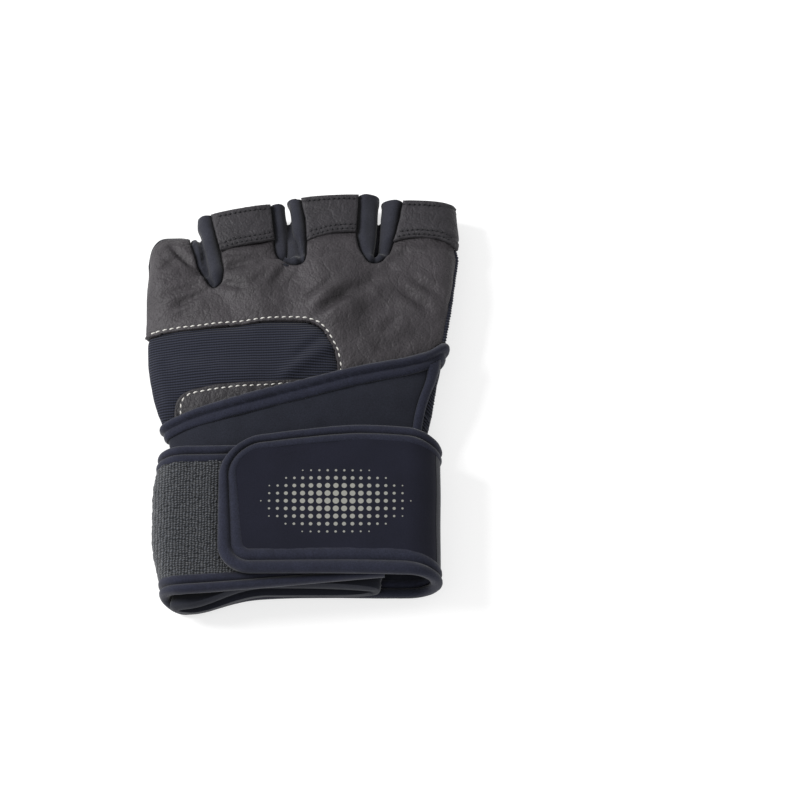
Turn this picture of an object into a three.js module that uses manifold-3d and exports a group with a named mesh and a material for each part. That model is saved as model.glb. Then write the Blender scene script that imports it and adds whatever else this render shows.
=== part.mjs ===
// A fingerless weightlifting glove for the left hand, lying palm down with its wrist wrap closed.
// Millimetres. +Z is up, +Y points to the fingertips and +X to the index finger.
import * as THREE from "three";
import { mergeVertices } from "three/addons/utils/BufferGeometryUtils.js";
import Module from "manifold-3d";

const wasm = await Module();
wasm.setup();

// Driving sizes of the hand. The pattern's zero line crosses the middle of the cuff's upper edge.
const HAND_WIDTH = 115;
const HAND_HEIGHT = 22;
const HAND_LENGTH = 90;
const HAND_START = -34;
const LEATHER = 2;
const STUB_WALL = 1.8;
const STUB_HEIGHT = 11.6;
const STUB_LOW = 2.6;
const STUB_REACH = 78;
const STUB_ROOT_DEPTH = 20;
const STUB_OPENING = 8;
const SEAM_GAP = 0.3;
const PANEL_SPLIT_GAP = 0.3;

// Driving sizes of the cuff, which is a sleeve of padded cloth round the wrist end of the hand.
const CUFF_LENGTH = 107;
const CUFF_START = -81;
const CUFF_WALL = 2.5;
const CUFF_SLOPE = 0.25;
const CUFF_TIP_RISE = 6;
const CUFF_TIP_START = 46;
const CUFF_TIP_END = 56;
const CUFF_BINDING_WIDTH = 7;
const CUFF_BINDING_PROUD = 0.7;
const CUFF_OVERLAP = 7;

// Driving sizes of the wrist wrap: one long strap wound about the cuff, its end lying on top as the flap.
const WRAP_WIDTH = 58;
const WRAP_LOWER_EDGE = -80;
const WRAP_THICKNESS = 3;
const WRAP_BINDING_WIDTH = 7;
const WRAP_BINDING_THICKNESS = 4;
const WRAP_LEFT = -55;
const WRAP_RIGHT = 50.7;
const WRAP_START = 30;
const WRAP_CLEARANCE = 0.3;
const WRAP_INNER_HEIGHT = 19;
const FLAP_END = -31.8;
const FLAP_CORNER = 12;
const LOOP_END_ON_PALM = -30;
const FLAP_PANEL_EDGE = 44;

// Driving sizes of the trims.
const HEM_THICKNESS = 1.3;
const HEM_LENGTH = 14;
const PATCH_THICKNESS = 1.2;
const PIPING_RADIUS = 1.3;
const PALM_PATCH_THICKNESS = 1.6;
const KNIT_UPPER_EDGE = 22.4;
const KNIT_RIGHT_EDGE = 12.8;
const KNIT_CORNER_WIDTH = 16;
const KNIT_CORNER_HEIGHT = 19;
const KNIT_PALM_STRIP = 10;
const CUFF_SEAM_WIDTH = 4;
const CUFF_SEAM_PROUD = 1;
const CUFF_SEAM_LEAN = 3;
const CUFF_SEAM_CLEARANCE = 2;
const CROTCH_POINT_WIDTH = 6;
const CROTCH_POINT_RISE = 1;
const CROTCH_FLARE = 4;

// Driving sizes of the thumb, a short tube folded flat under the palm.
const THUMB_WIDTH = 33;
const THUMB_HEIGHT = 9.2;
const THUMB_LENGTH = 42;
const THUMB_WALL = 1.6;
const THUMB_LEAN = 22;
const THUMB_HEM_LENGTH = 8;
const THUMB_OPENING = 5;

const HALF_WIDTH = HAND_WIDTH / 2;

// Cutting bodies reach these lengths past what they cut.
const CUT_LOW = -60;
const CUT_HIGH = 80;
const CUT_SIDE = 70;
const CUT_END = 160;
const CUT_STEP = 10;
const CUT_PAST_THUMB = 60;
const CUT_PAST_MOUTH = 5;
const CUT_PAST_HEM = 1;

// Points closer than this are one point, and slivers thinner than this are cleared away.
const SAME_POINT = 1e-4;
const SLIVER = 0.05;

// A table's rows as objects. Each row gives its values in the order of the named columns.
function table(columns, ...rows) {
  return rows.map((row) => Object.fromEntries(columns.map((column, i) => [column, row[i]])));
}

const SECTION_COLUMNS = ["along", "left", "right", "lowLeft", "lowRight", "topLeft", "topRight", "crown"];

// Sections of the hand from wrist to knuckles. Along is a share of its length, left and right are
// shares of half its width, and the rest are shares of its height.
const HAND_ROWS = table(
  SECTION_COLUMNS,
  [0, -0.8, 0.72, 0.336, 0.336, 0.545, 0.568, 0.045],
  [0.156, -0.86, 0.76, 0.3, 0.345, 0.573, 0.618, 0.118],
  [0.289, -0.932, 0.807, 0.182, 0.409, 0.618, 0.709, 0.182],
  [0.422, -0.981, 0.863, 0.1, 0.436, 0.645, 0.773, 0.2],
  [0.578, -0.997, 0.904, 0.088, 0.436, 0.664, 0.8, 0.209],
  [0.733, -0.995, 0.943, 0.088, 0.427, 0.673, 0.8, 0.2],
  [0.889, -1, 0.974, 0.109, 0.364, 0.664, 0.764, 0.173],
  [1, -0.991, 0.995, 0.136, 0.273, 0.636, 0.727, 0.136],
);

// Sections of the cuff from its hem to its upper edge, in the same columns, along its own length.
const CUFF_ROWS = table(
  SECTION_COLUMNS,
  [0, -0.877, 0.47, 0.2, 0.2, 0.664, 0.673, 0.055],
  [0.29, -0.877, 0.643, 0.2, 0.2, 0.664, 0.673, 0.073],
  [0.495, -0.88, 0.745, 0.2, 0.2, 0.673, 0.682, 0.068],
  [0.607, -0.929, 0.805, 0.109, 0.209, 0.709, 0.75, 0.135],
  [0.72, -0.991, 0.87, 0.027, 0.291, 0.755, 0.855, 0.245],
  [0.85, -1.04, 0.927, -0.027, 0.3, 0.791, 0.918, 0.273],
  [1, -1.05, 0.981, -0.045, 0.3, 0.809, 0.945, 0.282],
);

// Soft folds on the back of the hand. Places are shares of half the width and of the hand's length,
// height is a share of its height and width a share of half its width.
const FOLDS = table(
  ["name", "fromX", "fromY", "toX", "toY", "height", "width"],
  ["valley below the ring finger", -0.6, 0.8, -0.42, 0.66, -0.045, 0.09],
  ["valley below the middle finger", -0.08, 0.9, -0.1, 0.7, -0.06, 0.11],
  ["valley below the index finger", 0.45, 0.92, 0.42, 0.72, -0.055, 0.11],
  ["swelling of the ring knuckle", -0.36, 0.84, -0.3, 0.74, 0.045, 0.14],
  ["swelling of the middle knuckle", 0.16, 0.88, 0.18, 0.76, 0.045, 0.16],
  ["slanting fold beside the knit", 0.3, 0.66, -0.02, 0.5, 0.05, 0.1],
  ["dent over the index side", 0.62, 0.7, 0.74, 0.52, -0.05, 0.13],
);

// Height of the seam between back and palm on the hand's two sides, in shares of the hand's height.
// Along is a share of the hand's length, from its wrist end.
const SPLIT_ROWS = [
  { along: -0.1, left: 0.44, right: 0.45 },
  { along: 0.36, left: 0.39, right: 0.59 },
  { along: 0.7, left: 0.38, right: 0.62 },
  { along: 0.93, left: 0.38, right: 0.52 },
  { along: 1.3, left: 0.39, right: 0.4 },
];

// Finger stubs. Root and tip are shares of half the width, widths too, reach is a share of the stubs'
// reach. Strips are the widths, in the same shares, of the stretch cloth on the stub's two sides.
const STUBS = table(
  ["name", "root", "tip", "rootWidth", "tipWidth", "reach", "slant", "stripLeft", "stripRight", "curled"],
  ["pinky", -0.805, -0.815, 0.38, 0.345, 0.755, 0, 0, 0.05, true],
  ["ring", -0.352, -0.412, 0.53, 0.545, 0.93, 11, 0.09, 0.085, false],
  ["middle", 0.18, 0.182, 0.53, 0.585, 1, 3, 0.1, 0.125, false],
  ["index", 0.715, 0.725, 0.52, 0.49, 0.97, -2, 0.11, 0, false],
);

// Where the slits between the stubs end, in shares of half the width and of the hand's length.
const CROTCHES = [
  { name: "pinky_ring", x: -0.615, y: 0.86, strip: 0.075 },
  { name: "ring_middle", x: -0.088, y: 0.945, strip: 0.07 },
  { name: "middle_index", x: 0.448, y: 0.955, strip: 0.07 },
];

// The wound strap's lower and upper edges move along the glove by these lengths, in shares of the
// strap's width. Turn counts the straight stretches and folds of its path.
const WRAP_SKEW = [
  { turn: 0, lower: 0.02, upper: -0.08 },
  { turn: 1, lower: -0.09, upper: -0.095 },
  { turn: 1.5, lower: -0.07, upper: -0.1 },
  { turn: 2, lower: -0.12, upper: -0.12 },
  { turn: 2.35, lower: -0.03, upper: -0.06 },
  { turn: 3, lower: 0, upper: 0 },
  { turn: 5, lower: 0, upper: 0 },
];

const COLORS = {
  leather: 0x4a4846,
  knit: 0x2b2d3b,
  stretch: 0x343842,
  suede: 0x232326,
  binding: 0x2d323c,
  padded: 0x262832,
  flap: 0x23242e,
  loop: 0x37393a,
};

// Values between two rows of a table follow a smooth curve through the rows.
function rowAt(rows, key, at) {
  const last = rows.length - 1;
  let i = 0;
  while (i < last - 1 && at > rows[i + 1][key]) i += 1;
  const before = rows[Math.max(i - 1, 0)];
  const a = rows[i];
  const b = rows[i + 1];
  const after = rows[Math.min(i + 2, last)];
  const span = b[key] - a[key];
  const t = THREE.MathUtils.clamp((at - a[key]) / span, 0, 1);
  const values = {};
  for (const column of Object.keys(a)) {
    if (typeof a[column] !== "number") continue;
    const slopeA = ((b[column] - before[column]) / (b[key] - before[key])) * span;
    const slopeB = ((after[column] - a[column]) / (after[key] - a[key])) * span;
    const drop = b[column] - a[column];
    const bend = slopeA + slopeB - 2 * drop;
    const ease = 3 * drop - 2 * slopeA - slopeB;
    values[column] = a[column] + t * (slopeA + t * (ease + t * bend));
  }
  return values;
}

function solidOf(geometry) {
  const bare = geometry.clone();
  bare.deleteAttribute("normal");
  bare.deleteAttribute("uv");
  const merged = mergeVertices(bare, SAME_POINT);
  return new wasm.Manifold(
    new wasm.Mesh({
      numProp: 3,
      vertProperties: new Float32Array(merged.attributes.position.array),
      triVerts: new Uint32Array(merged.index.array),
    }),
  );
}

function geometryOf(solid) {
  const mesh = solid.getMesh();
  const geometry = new THREE.BufferGeometry();
  geometry.setAttribute("position", new THREE.BufferAttribute(mesh.vertProperties, mesh.numProp));
  geometry.setIndex(new THREE.BufferAttribute(mesh.triVerts, 1));
  geometry.computeVertexNormals();
  return geometry;
}

// The largest body of a cut, without the slivers and crumbs that a slanting cut can leave.
function mainBody(solid) {
  const bodies = solid.simplify(SLIVER).decompose();
  return bodies.reduce((best, body) => (body.volume() > best.volume() ? body : best));
}

// A closed skin over rings of points that all have the same count. Its ends are fans.
function loft(rings) {
  const count = rings[0].length;
  const points = rings.flat();
  const index = [];
  for (let r = 0; r < rings.length - 1; r += 1) {
    const here = r * count;
    const next = here + count;
    for (let k = 0; k < count; k += 1) {
      const side = (k + 1) % count;
      index.push(here + k, here + side, next + side, here + k, next + side, next + k);
    }
  }
  for (const [start, turned] of [[0, true], [(rings.length - 1) * count, false]]) {
    const middle = new THREE.Vector3();
    for (let k = 0; k < count; k += 1) middle.addScaledVector(points[start + k], 1 / count);
    const centre = points.push(middle) - 1;
    for (let k = 0; k < count; k += 1) {
      const side = (k + 1) % count;
      if (turned) index.push(centre, start + side, start + k);
      else index.push(centre, start + k, start + side);
    }
  }
  const geometry = new THREE.BufferGeometry().setFromPoints(points);
  geometry.setIndex(index);
  const solid = solidOf(geometry);
  if (solid.volume() > 0) return solid;
  for (let i = 0; i < index.length; i += 3) [index[i + 1], index[i + 2]] = [index[i + 2], index[i + 1]];
  geometry.setIndex(index);
  return solidOf(geometry);
}

// An upright prism over a closed outline given as [x, y] corners or as a shape.
function prism(outline, low = CUT_LOW, high = CUT_HIGH) {
  const isShape = outline instanceof THREE.Shape;
  const shape = isShape ? outline : new THREE.Shape(outline.map(([x, y]) => new THREE.Vector2(x, y)));
  const options = { depth: high - low, bevelEnabled: false, curveSegments: 12 };
  const geometry = new THREE.ExtrudeGeometry(shape, options);
  geometry.translate(0, 0, low);
  return solidOf(geometry);
}

function foldHeight(x, y) {
  let height = 0;
  for (const fold of FOLDS) {
    const from = new THREE.Vector3(fold.fromX * HALF_WIDTH, HAND_START + fold.fromY * HAND_LENGTH, 0);
    const to = new THREE.Vector3(fold.toX * HALF_WIDTH, HAND_START + fold.toY * HAND_LENGTH, 0);
    const place = new THREE.Vector3(x, y, 0);
    const near = new THREE.Line3(from, to).closestPointToPoint(place, true, new THREE.Vector3());
    const distance = near.distanceTo(place) / (fold.width * HALF_WIDTH);
    height += fold.height * HAND_HEIGHT * Math.exp(-distance * distance);
  }
  return height;
}

// The underside steps up over the folded thumb between these shares of the width.
const PALM_SLOPE = [0.38, 0.62];

// Powers that round a section's upper and lower outline, and one that fades its folds at the sides.
const TOP_DOME = { across: 3, rise: 1 / 2.6 };
const LOW_DOME = { across: 6, rise: 1 / 3 };
const FOLD_FADE = 8;

const dome = (across, powers) => Math.max(0, 1 - Math.abs(across) ** powers.across) ** powers.rise;

// One section of a flattened tube. Its underside is flatter than its top.
function section(row, y, grow, columns, folded) {
  const left = row.left * HALF_WIDTH - grow;
  const right = row.right * HALF_WIDTH + grow;
  const upper = [];
  const under = [];
  for (let k = 0; k <= columns; k += 1) {
    const across = -Math.cos((Math.PI * k) / columns);
    const share = (1 + across) / 2;
    const x = THREE.MathUtils.lerp(left, right, share);
    const slide = THREE.MathUtils.smoothstep(share, ...PALM_SLOPE);
    const roof = THREE.MathUtils.lerp(row.topLeft, row.topRight, share) * HAND_HEIGHT;
    const ground = THREE.MathUtils.lerp(row.lowLeft, row.lowRight, slide) * HAND_HEIGHT;
    const crown = row.crown * HAND_HEIGHT * (1 - across * across);
    const fold = folded ? foldHeight(x, y) * (1 - across ** FOLD_FADE) : 0;
    const top = roof + crown + fold + grow;
    const low = ground - grow;
    const middle = (roof + ground) / 2;
    upper.push(new THREE.Vector3(x, y, middle + (top - middle) * dome(across, TOP_DOME)));
    under.push(new THREE.Vector3(x, y, middle - (middle - low) * dome(across, LOW_DOME)));
  }
  return [...upper, ...under.slice(1, -1).reverse()];
}

function tube(rows, start, length, grow, options = {}) {
  const { columns = 16, steps = 10, beyond = 0, folded = false } = options;
  const rings = [];
  for (let i = 0; i <= steps; i += 1) {
    const along = i / steps;
    const stretch = (along - 0.5) * 2 * beyond;
    const y = start + along * length + stretch;
    rings.push(section(rowAt(rows, "along", along), y, grow, columns, folded));
  }
  return loft(rings);
}

const handX = (share) => share * HALF_WIDTH;
const handY = (share) => HAND_START + share * HAND_LENGTH;
const handZ = (share) => share * HAND_HEIGHT;

// Height of the smooth back of the hand above a point of its pattern, without its folds.
function backHeight(x, y) {
  const row = rowAt(HAND_ROWS, "along", (y - HAND_START) / HAND_LENGTH);
  const share = (x / HALF_WIDTH - row.left) / (row.right - row.left);
  const across = 2 * share - 1;
  return handZ(THREE.MathUtils.lerp(row.topLeft, row.topRight, share) + row.crown * (1 - across * across));
}

// Depth of the smooth palm below a point of the pattern.
function palmHeight(x, y) {
  const row = rowAt(HAND_ROWS, "along", (y - HAND_START) / HAND_LENGTH);
  const share = (x / HALF_WIDTH - row.left) / (row.right - row.left);
  const slide = THREE.MathUtils.smoothstep(share, ...PALM_SLOPE);
  return handZ(THREE.MathUtils.lerp(row.lowLeft, row.lowRight, slide));
}

// Stations of a stub's tube, from inside the hand to its mouth. The curled one bends to the floor.
const STRAIGHT_STATIONS = [
  { along: 0, size: 0.72, pitch: 0, drop: 0 },
  { along: 0.3, size: 0.97, pitch: 0, drop: 0 },
  { along: 0.55, size: 1, pitch: 0, drop: 0 },
  { along: 0.8, size: 1, pitch: 0, drop: 0 },
  { along: 1, size: 0.97, pitch: 0, drop: 0 },
];
const CURLED_STATIONS = [
  { along: 0, size: 0.72, pitch: 0, drop: 0 },
  { along: 0.35, size: 0.97, pitch: -2, drop: 0 },
  { along: 0.6, size: 1, pitch: -10, drop: 0.02 },
  { along: 0.78, size: 0.96, pitch: -30, drop: 0.08 },
  { along: 0.88, size: 0.88, pitch: -55, drop: 0.19 },
  { along: 0.91, size: 0.82, pitch: -70, drop: 0.27 },
];
const STUB_ROOT = 0.9;
const STUB_SIDES = 20;

// Powers that square the corners of a stub's and of the thumb's section.
const STUB_SQUARE = { side: 0.78, rise: 0.78 };
const THUMB_SQUARE = { side: 0.7, rise: 0.5 };

// The points of a rounded section, each as shares of its half width and half height.
function squaredCircle(powers) {
  const squared = (value, power) => Math.sign(value) * Math.abs(value) ** power;
  return Array.from({ length: STUB_SIDES }, (_, k) => {
    const angle = (2 * Math.PI * k) / STUB_SIDES;
    return { side: squared(Math.cos(angle), powers.side), rise: squared(Math.sin(angle), powers.rise) };
  });
}

function stub(row, grow, beyond = 0) {
  const tip = new THREE.Vector3(handX(row.tip), row.reach * STUB_REACH, 0);
  const root = new THREE.Vector3(handX(row.root), handY(STUB_ROOT) - STUB_ROOT_DEPTH, 0);
  const stations = row.curled ? CURLED_STATIONS : STRAIGHT_STATIONS;
  const rings = stations.map((station, i) => {
    const last = i === stations.length - 1;
    const centre = root.clone().lerp(tip, station.along);
    const width = handX(THREE.MathUtils.lerp(row.rootWidth, row.tipWidth, station.along)) * station.size;
    const backTop = backHeight(centre.x, Math.min(centre.y, handY(1)));
    const palmLow = palmHeight(centre.x, Math.min(centre.y, handY(1)));
    const toTip = THREE.MathUtils.smoothstep(station.along, 0.3, 1);
    const top = THREE.MathUtils.lerp(backTop, STUB_LOW + STUB_HEIGHT, toTip);
    const low = THREE.MathUtils.lerp(palmLow, STUB_LOW, toTip);
    const height = (top - low) * station.size;
    centre.z = (top + low) / 2 - station.drop * HAND_HEIGHT;
    const pitch = THREE.MathUtils.degToRad(station.pitch);
    const ahead = new THREE.Vector3(0, Math.cos(pitch), Math.sin(pitch));
    const up = new THREE.Vector3(0, -Math.sin(pitch), Math.cos(pitch));
    const turn = THREE.MathUtils.degToRad(row.slant) * station.along;
    const across = new THREE.Vector3(Math.cos(turn), Math.sin(turn), 0);
    if (last) centre.addScaledVector(ahead, beyond);
    return squaredCircle(STUB_SQUARE).map(({ side, rise }) => {
      const point = centre.clone().addScaledVector(across, side * (width / 2 + grow));
      return point.addScaledVector(up, rise * (height / 2 + grow));
    });
  });
  return loft(rings);
}

// The hand tube ends at the crotches, so the slits between the stubs stay open in front of them.
function palmRegion(grow) {
  const front = CROTCHES.map((row) => [handX(row.x), handY(row.y) + grow]);
  const far = HAND_WIDTH;
  return prism([
    [-far, HAND_START - far],
    [far, HAND_START - far],
    [far, handY(1) + grow],
    ...front.reverse(),
    [-far, handY(CROTCHES[0].y) + grow],
  ]);
}

function handOuter(grow) {
  const options = { columns: 24, steps: 20, folded: true };
  let solid = tube(HAND_ROWS, HAND_START, HAND_LENGTH, grow, options);
  solid = solid.intersect(palmRegion(grow));
  for (const row of STUBS) solid = solid.add(stub(row, grow));
  return solid;
}

function handInner() {
  const options = { columns: 14, steps: 9, beyond: 1 };
  let solid = tube(HAND_ROWS, HAND_START, HAND_LENGTH, -LEATHER, options);
  solid = solid.intersect(palmRegion(-LEATHER));
  for (const row of STUBS) solid = solid.add(stub(row, -STUB_WALL, STUB_OPENING));
  return solid;
}

// The cuff's upper edge slants up towards the index finger.
function cuffEdge(x) {
  return CUFF_SLOPE * x + CUFF_TIP_RISE * THREE.MathUtils.smoothstep(x, CUFF_TIP_START, CUFF_TIP_END);
}

function cuffEdgeLine(drop) {
  const edge = [];
  for (let x = -CUT_SIDE; x <= CUT_SIDE; x += CUT_STEP) edge.push([x, cuffEdge(x) - drop]);
  return edge;
}

function belowCuffEdge(drop) {
  return prism([[CUT_SIDE, -CUT_END], ...cuffEdgeLine(drop).reverse(), [-CUT_SIDE, -CUT_END]]);
}

function aboveCuffEdge(drop) {
  return prism([...cuffEdgeLine(drop), [CUT_SIDE, CUT_END], [-CUT_SIDE, CUT_END]]);
}

// The space above or below the seam between back and palm.
function splitSpace(upper) {
  const side = upper ? 1 : -1;
  const rings = SPLIT_ROWS.map((row) => {
    const y = handY(row.along);
    const lift = (side * PANEL_SPLIT_GAP) / 2;
    const slope = handZ(row.right - row.left) / HAND_WIDTH;
    const middle = handZ(row.left + row.right) / 2 + lift;
    const far = HAND_WIDTH;
    return [
      new THREE.Vector3(-far, y, middle - slope * far),
      new THREE.Vector3(far, y, middle + slope * far),
      new THREE.Vector3(far, y, side * 4 * HAND_HEIGHT),
      new THREE.Vector3(-far, y, side * 4 * HAND_HEIGHT),
    ];
  });
  return loft(rings);
}

// Where along the stubs the stretch cloth's strips start, and how far past them its cutter runs.
const STRIP_START = 0.6;
const STRIP_CUT = 1.2;

// The stretch cloth between two stubs: a strip up the side of each, joined round the crotch.
function fourchetteRegion(i, grow) {
  const crotch = CROTCHES[i];
  const y = handY(crotch.y);
  const far = STUB_REACH * STRIP_CUT;
  const middleOf = (row, share) => THREE.MathUtils.lerp(row.root, row.tip, share);
  const halfOf = (row, share) => THREE.MathUtils.lerp(row.rootWidth, row.tipWidth, share) / 2;
  const [a, b] = [STUBS[i], STUBS[i + 1]];
  const rightOf = (share) => handX(middleOf(a, share) + halfOf(a, share) - a.stripRight) - grow;
  const leftOf = (share) => handX(middleOf(b, share) - halfOf(b, share) + b.stripLeft) + grow;
  const bottom = y - handX(crotch.strip) - grow;
  const point = CROTCH_POINT_WIDTH / 2;
  return prism([
    [rightOf(1), far],
    [rightOf(STRIP_START), y + CROTCH_FLARE],
    [handX(crotch.x) - point, bottom + CROTCH_POINT_RISE],
    [handX(crotch.x), bottom],
    [handX(crotch.x) + point, bottom + CROTCH_POINT_RISE],
    [leftOf(STRIP_START), y + CROTCH_FLARE],
    [leftOf(1), far],
  ]);
}

// The knitted insert's pattern on the back: a straight upper edge and a round right corner.
function knitOnBack(grow) {
  const shape = new THREE.Shape();
  const upper = KNIT_UPPER_EDGE + grow;
  const right = KNIT_RIGHT_EDGE + grow;
  const corner = [right - KNIT_CORNER_WIDTH, upper - KNIT_CORNER_HEIGHT];
  shape.moveTo(-HAND_WIDTH, -HAND_WIDTH);
  shape.lineTo(right, -HAND_WIDTH);
  shape.lineTo(right, upper - KNIT_CORNER_HEIGHT);
  shape.absellipse(...corner, KNIT_CORNER_WIDTH, KNIT_CORNER_HEIGHT, 0, Math.PI / 2, false, 0);
  shape.lineTo(-HAND_WIDTH, upper);
  return prism(shape);
}

function knitOnPalm(grow) {
  const far = HAND_WIDTH;
  const right = -HALF_WIDTH + KNIT_PALM_STRIP + grow;
  const upper = KNIT_UPPER_EDGE + grow;
  return prism([[-far, -far], [right, -far], [right, upper], [-far, upper]]);
}

const glove = new THREE.Group();

function piece(name, solid, color, roughness) {
  const material = new THREE.MeshStandardMaterial({ color, roughness, metalness: 0 });
  const mesh = new THREE.Mesh(geometryOf(mainBody(solid)), material);
  mesh.name = name;
  glove.add(mesh);
}

// The thumb: a tube that leaves the palm near the index edge and lies flat under it.
const THUMB_STATIONS = [
  { along: -0.2, height: 0.55, rise: 0.92, width: 0.6 },
  { along: 0, height: 0.96, rise: 0.2, width: 0.9 },
  { along: 0.25, height: 1, rise: 0, width: 1 },
  { along: 0.6, height: 1, rise: 0, width: 0.97 },
  { along: 1, height: 1, rise: 0, width: 0.92 },
];
const THUMB_ROOT = { x: 0.61, y: 0.38 };

function thumbTube(grow, beyond = 0) {
  const lean = THREE.MathUtils.degToRad(THUMB_LEAN);
  const ahead = new THREE.Vector3(-Math.sin(lean), Math.cos(lean), 0);
  const across = new THREE.Vector3(Math.cos(lean), Math.sin(lean), 0);
  const last = THUMB_STATIONS.length - 1;
  const rings = THUMB_STATIONS.map((station, i) => {
    const z = THUMB_HEIGHT * (0.5 + station.rise);
    const centre = new THREE.Vector3(handX(THUMB_ROOT.x), handY(THUMB_ROOT.y), z);
    centre.addScaledVector(ahead, station.along * THUMB_LENGTH + (i === last ? beyond : 0));
    return squaredCircle(THUMB_SQUARE).map(({ side, rise }) => {
      const halfWidth = (THUMB_WIDTH * station.width) / 2 + grow;
      const point = centre.clone().addScaledVector(across, side * halfWidth);
      point.z += rise * ((THUMB_HEIGHT * station.height) / 2 + grow);
      return point;
    });
  });
  return loft(rings);
}

// Solids that several pieces are cut from.
const outer = handOuter(0);
const outerGrown = handOuter(SEAM_GAP);
const shell = outer.subtract(handInner()).intersect(aboveCuffEdge(CUFF_OVERLAP));
const upperSpace = splitSpace(true);
const lowerSpace = splitSpace(false);

function buildHand() {
  let body = shell;
  CROTCHES.forEach((row, i) => {
    piece("fourchette_" + row.name, shell.intersect(fourchetteRegion(i, 0)), COLORS.stretch, 0.9);
    body = body.subtract(fourchetteRegion(i, SEAM_GAP));
  });
  const back = body.intersect(upperSpace);
  piece("back_leather", back.subtract(knitOnBack(SEAM_GAP)), COLORS.leather, 0.55);
  const knitRegion = upperSpace.intersect(knitOnBack(0)).add(knitOnPalm(0));
  piece("knit_panel", body.intersect(knitRegion), COLORS.knit, 0.9);
  const palm = body.intersect(lowerSpace).subtract(knitOnPalm(SEAM_GAP));
  piece("palm_panel", palm.subtract(thumbTube(-THUMB_WALL)), COLORS.suede, 0.95);
}

// Leather hems lie on the backs of the three flat stubs and close their mouths' edges.
function buildHems() {
  for (const row of STUBS.filter((stubRow) => !stubRow.curled)) {
    const tip = handX(row.tip);
    const half = handX(row.tipWidth) / 2;
    const left = tip - half + handX(row.stripLeft) + SEAM_GAP;
    const right = tip + half - handX(row.stripRight) - (row.stripRight ? SEAM_GAP : 0);
    const end = row.reach * STUB_REACH;
    const turn = Math.tan(THREE.MathUtils.degToRad(row.slant));
    const edge = (x, drop) => [x, end + (x - tip) * turn - drop];
    const reach = row.stripRight ? right : right + PIPING_RADIUS;
    const behind = [edge(left, HEM_LENGTH), edge(reach, HEM_LENGTH)];
    const region = prism([...behind, edge(reach, -CUT_PAST_MOUTH), edge(left, -CUT_PAST_MOUTH)]);
    const skin = stub(row, SEAM_GAP + HEM_THICKNESS).subtract(outerGrown).intersect(region);
    piece(row.name + "_hem", skin.intersect(upperSpace), COLORS.leather, 0.55);
  }
}

// The patch's outline, in shares of half the hand's width and of its length.
const PATCH = { left: -0.81, right: 0.2, back: 0.1, front: 0.371, corner: 0.1 };

// A small leather patch sits on the knit beside the cuff, with a round end at the little finger's side.
function buildPatch() {
  const shape = new THREE.Shape();
  const [left, right] = [handX(PATCH.left), handX(PATCH.right)];
  const [back, front] = [handY(PATCH.back), handY(PATCH.front)];
  const radius = handX(PATCH.corner);
  shape.moveTo(left, back);
  shape.lineTo(left, front - radius);
  shape.absarc(left + radius, front - radius, radius, Math.PI, Math.PI / 2, true);
  shape.lineTo(right, front);
  shape.lineTo(right, back);
  const skin = handOuter(SEAM_GAP + PATCH_THICKNESS).subtract(outerGrown);
  const region = prism(shape).intersect(upperSpace).intersect(aboveCuffEdge(-SEAM_GAP));
  piece("leather_patch", skin.intersect(region), COLORS.leather, 0.55);
}

const PIPING_STATIONS = 8;
const PIPING_SIDES = 8;
const PIPING_STEPS = 20;
const STUB_SIDE_START = 0.97;

// Overlocked piping runs up the index side from the cuff to the index stub's mouth.
function buildPiping() {
  const points = [];
  const indexStub = STUBS[STUBS.length - 1];
  const hemStart = indexStub.reach * STUB_REACH - HEM_LENGTH - 2 * PIPING_RADIUS;
  for (let i = 0; i <= PIPING_STATIONS; i += 1) {
    const start = cuffEdge(HALF_WIDTH) + 2 * PIPING_RADIUS;
    const y = THREE.MathUtils.lerp(start, hemStart, i / PIPING_STATIONS);
    const along = (y - HAND_START) / HAND_LENGTH;
    const row = rowAt(HAND_ROWS, "along", Math.min(along, 1));
    const split = rowAt(SPLIT_ROWS, "along", along);
    const edge = along > STUB_SIDE_START ? indexStub.tip + indexStub.tipWidth / 2 : row.right;
    points.push(new THREE.Vector3(handX(edge) + PIPING_RADIUS + SEAM_GAP, y, handZ(split.right)));
  }
  const circle = new THREE.Shape();
  for (let k = 0; k < PIPING_SIDES; k += 1) {
    const angle = (2 * Math.PI * k) / PIPING_SIDES;
    const [x, y] = [PIPING_RADIUS * Math.cos(angle), PIPING_RADIUS * Math.sin(angle)];
    if (k === 0) circle.moveTo(x, y);
    else circle.lineTo(x, y);
  }
  const path = new THREE.CatmullRomCurve3(points);
  const options = { steps: PIPING_STEPS, extrudePath: path, bevelEnabled: false };
  const geometry = new THREE.ExtrudeGeometry(circle, options);
  piece("side_piping", solidOf(geometry).subtract(outerGrown), COLORS.binding, 0.9);
}

// The palm patch's outline, in the same shares.
const PALM_PATCH = { left: -0.8, right: -0.14, back: 0.5, front: 0.86, corner: 0.12 };

// A flat reinforcement under the heel of the palm, which the glove rests on.
function buildPalmPatch() {
  const shape = new THREE.Shape();
  const [left, right] = [handX(PALM_PATCH.left), handX(PALM_PATCH.right)];
  const [back, front] = [handY(PALM_PATCH.back), handY(PALM_PATCH.front)];
  const radius = handX(PALM_PATCH.corner);
  shape.absarc(left + radius, back + radius, radius, Math.PI, 1.5 * Math.PI, false);
  shape.absarc(right - radius, back + radius, radius, 1.5 * Math.PI, 2 * Math.PI, false);
  shape.absarc(right - radius, front - radius, radius, 0, 0.5 * Math.PI, false);
  shape.absarc(left + radius, front - radius, radius, 0.5 * Math.PI, Math.PI, false);
  const plate = prism(shape, 0, PALM_PATCH_THICKNESS);
  piece("palm_patch", plate.subtract(outerGrown), COLORS.suede, 0.95);
}

function cuffTube(grow, beyond = 0) {
  return tube(CUFF_ROWS, CUFF_START, CUFF_LENGTH, grow, { columns: 16, steps: 12, beyond });
}

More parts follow.
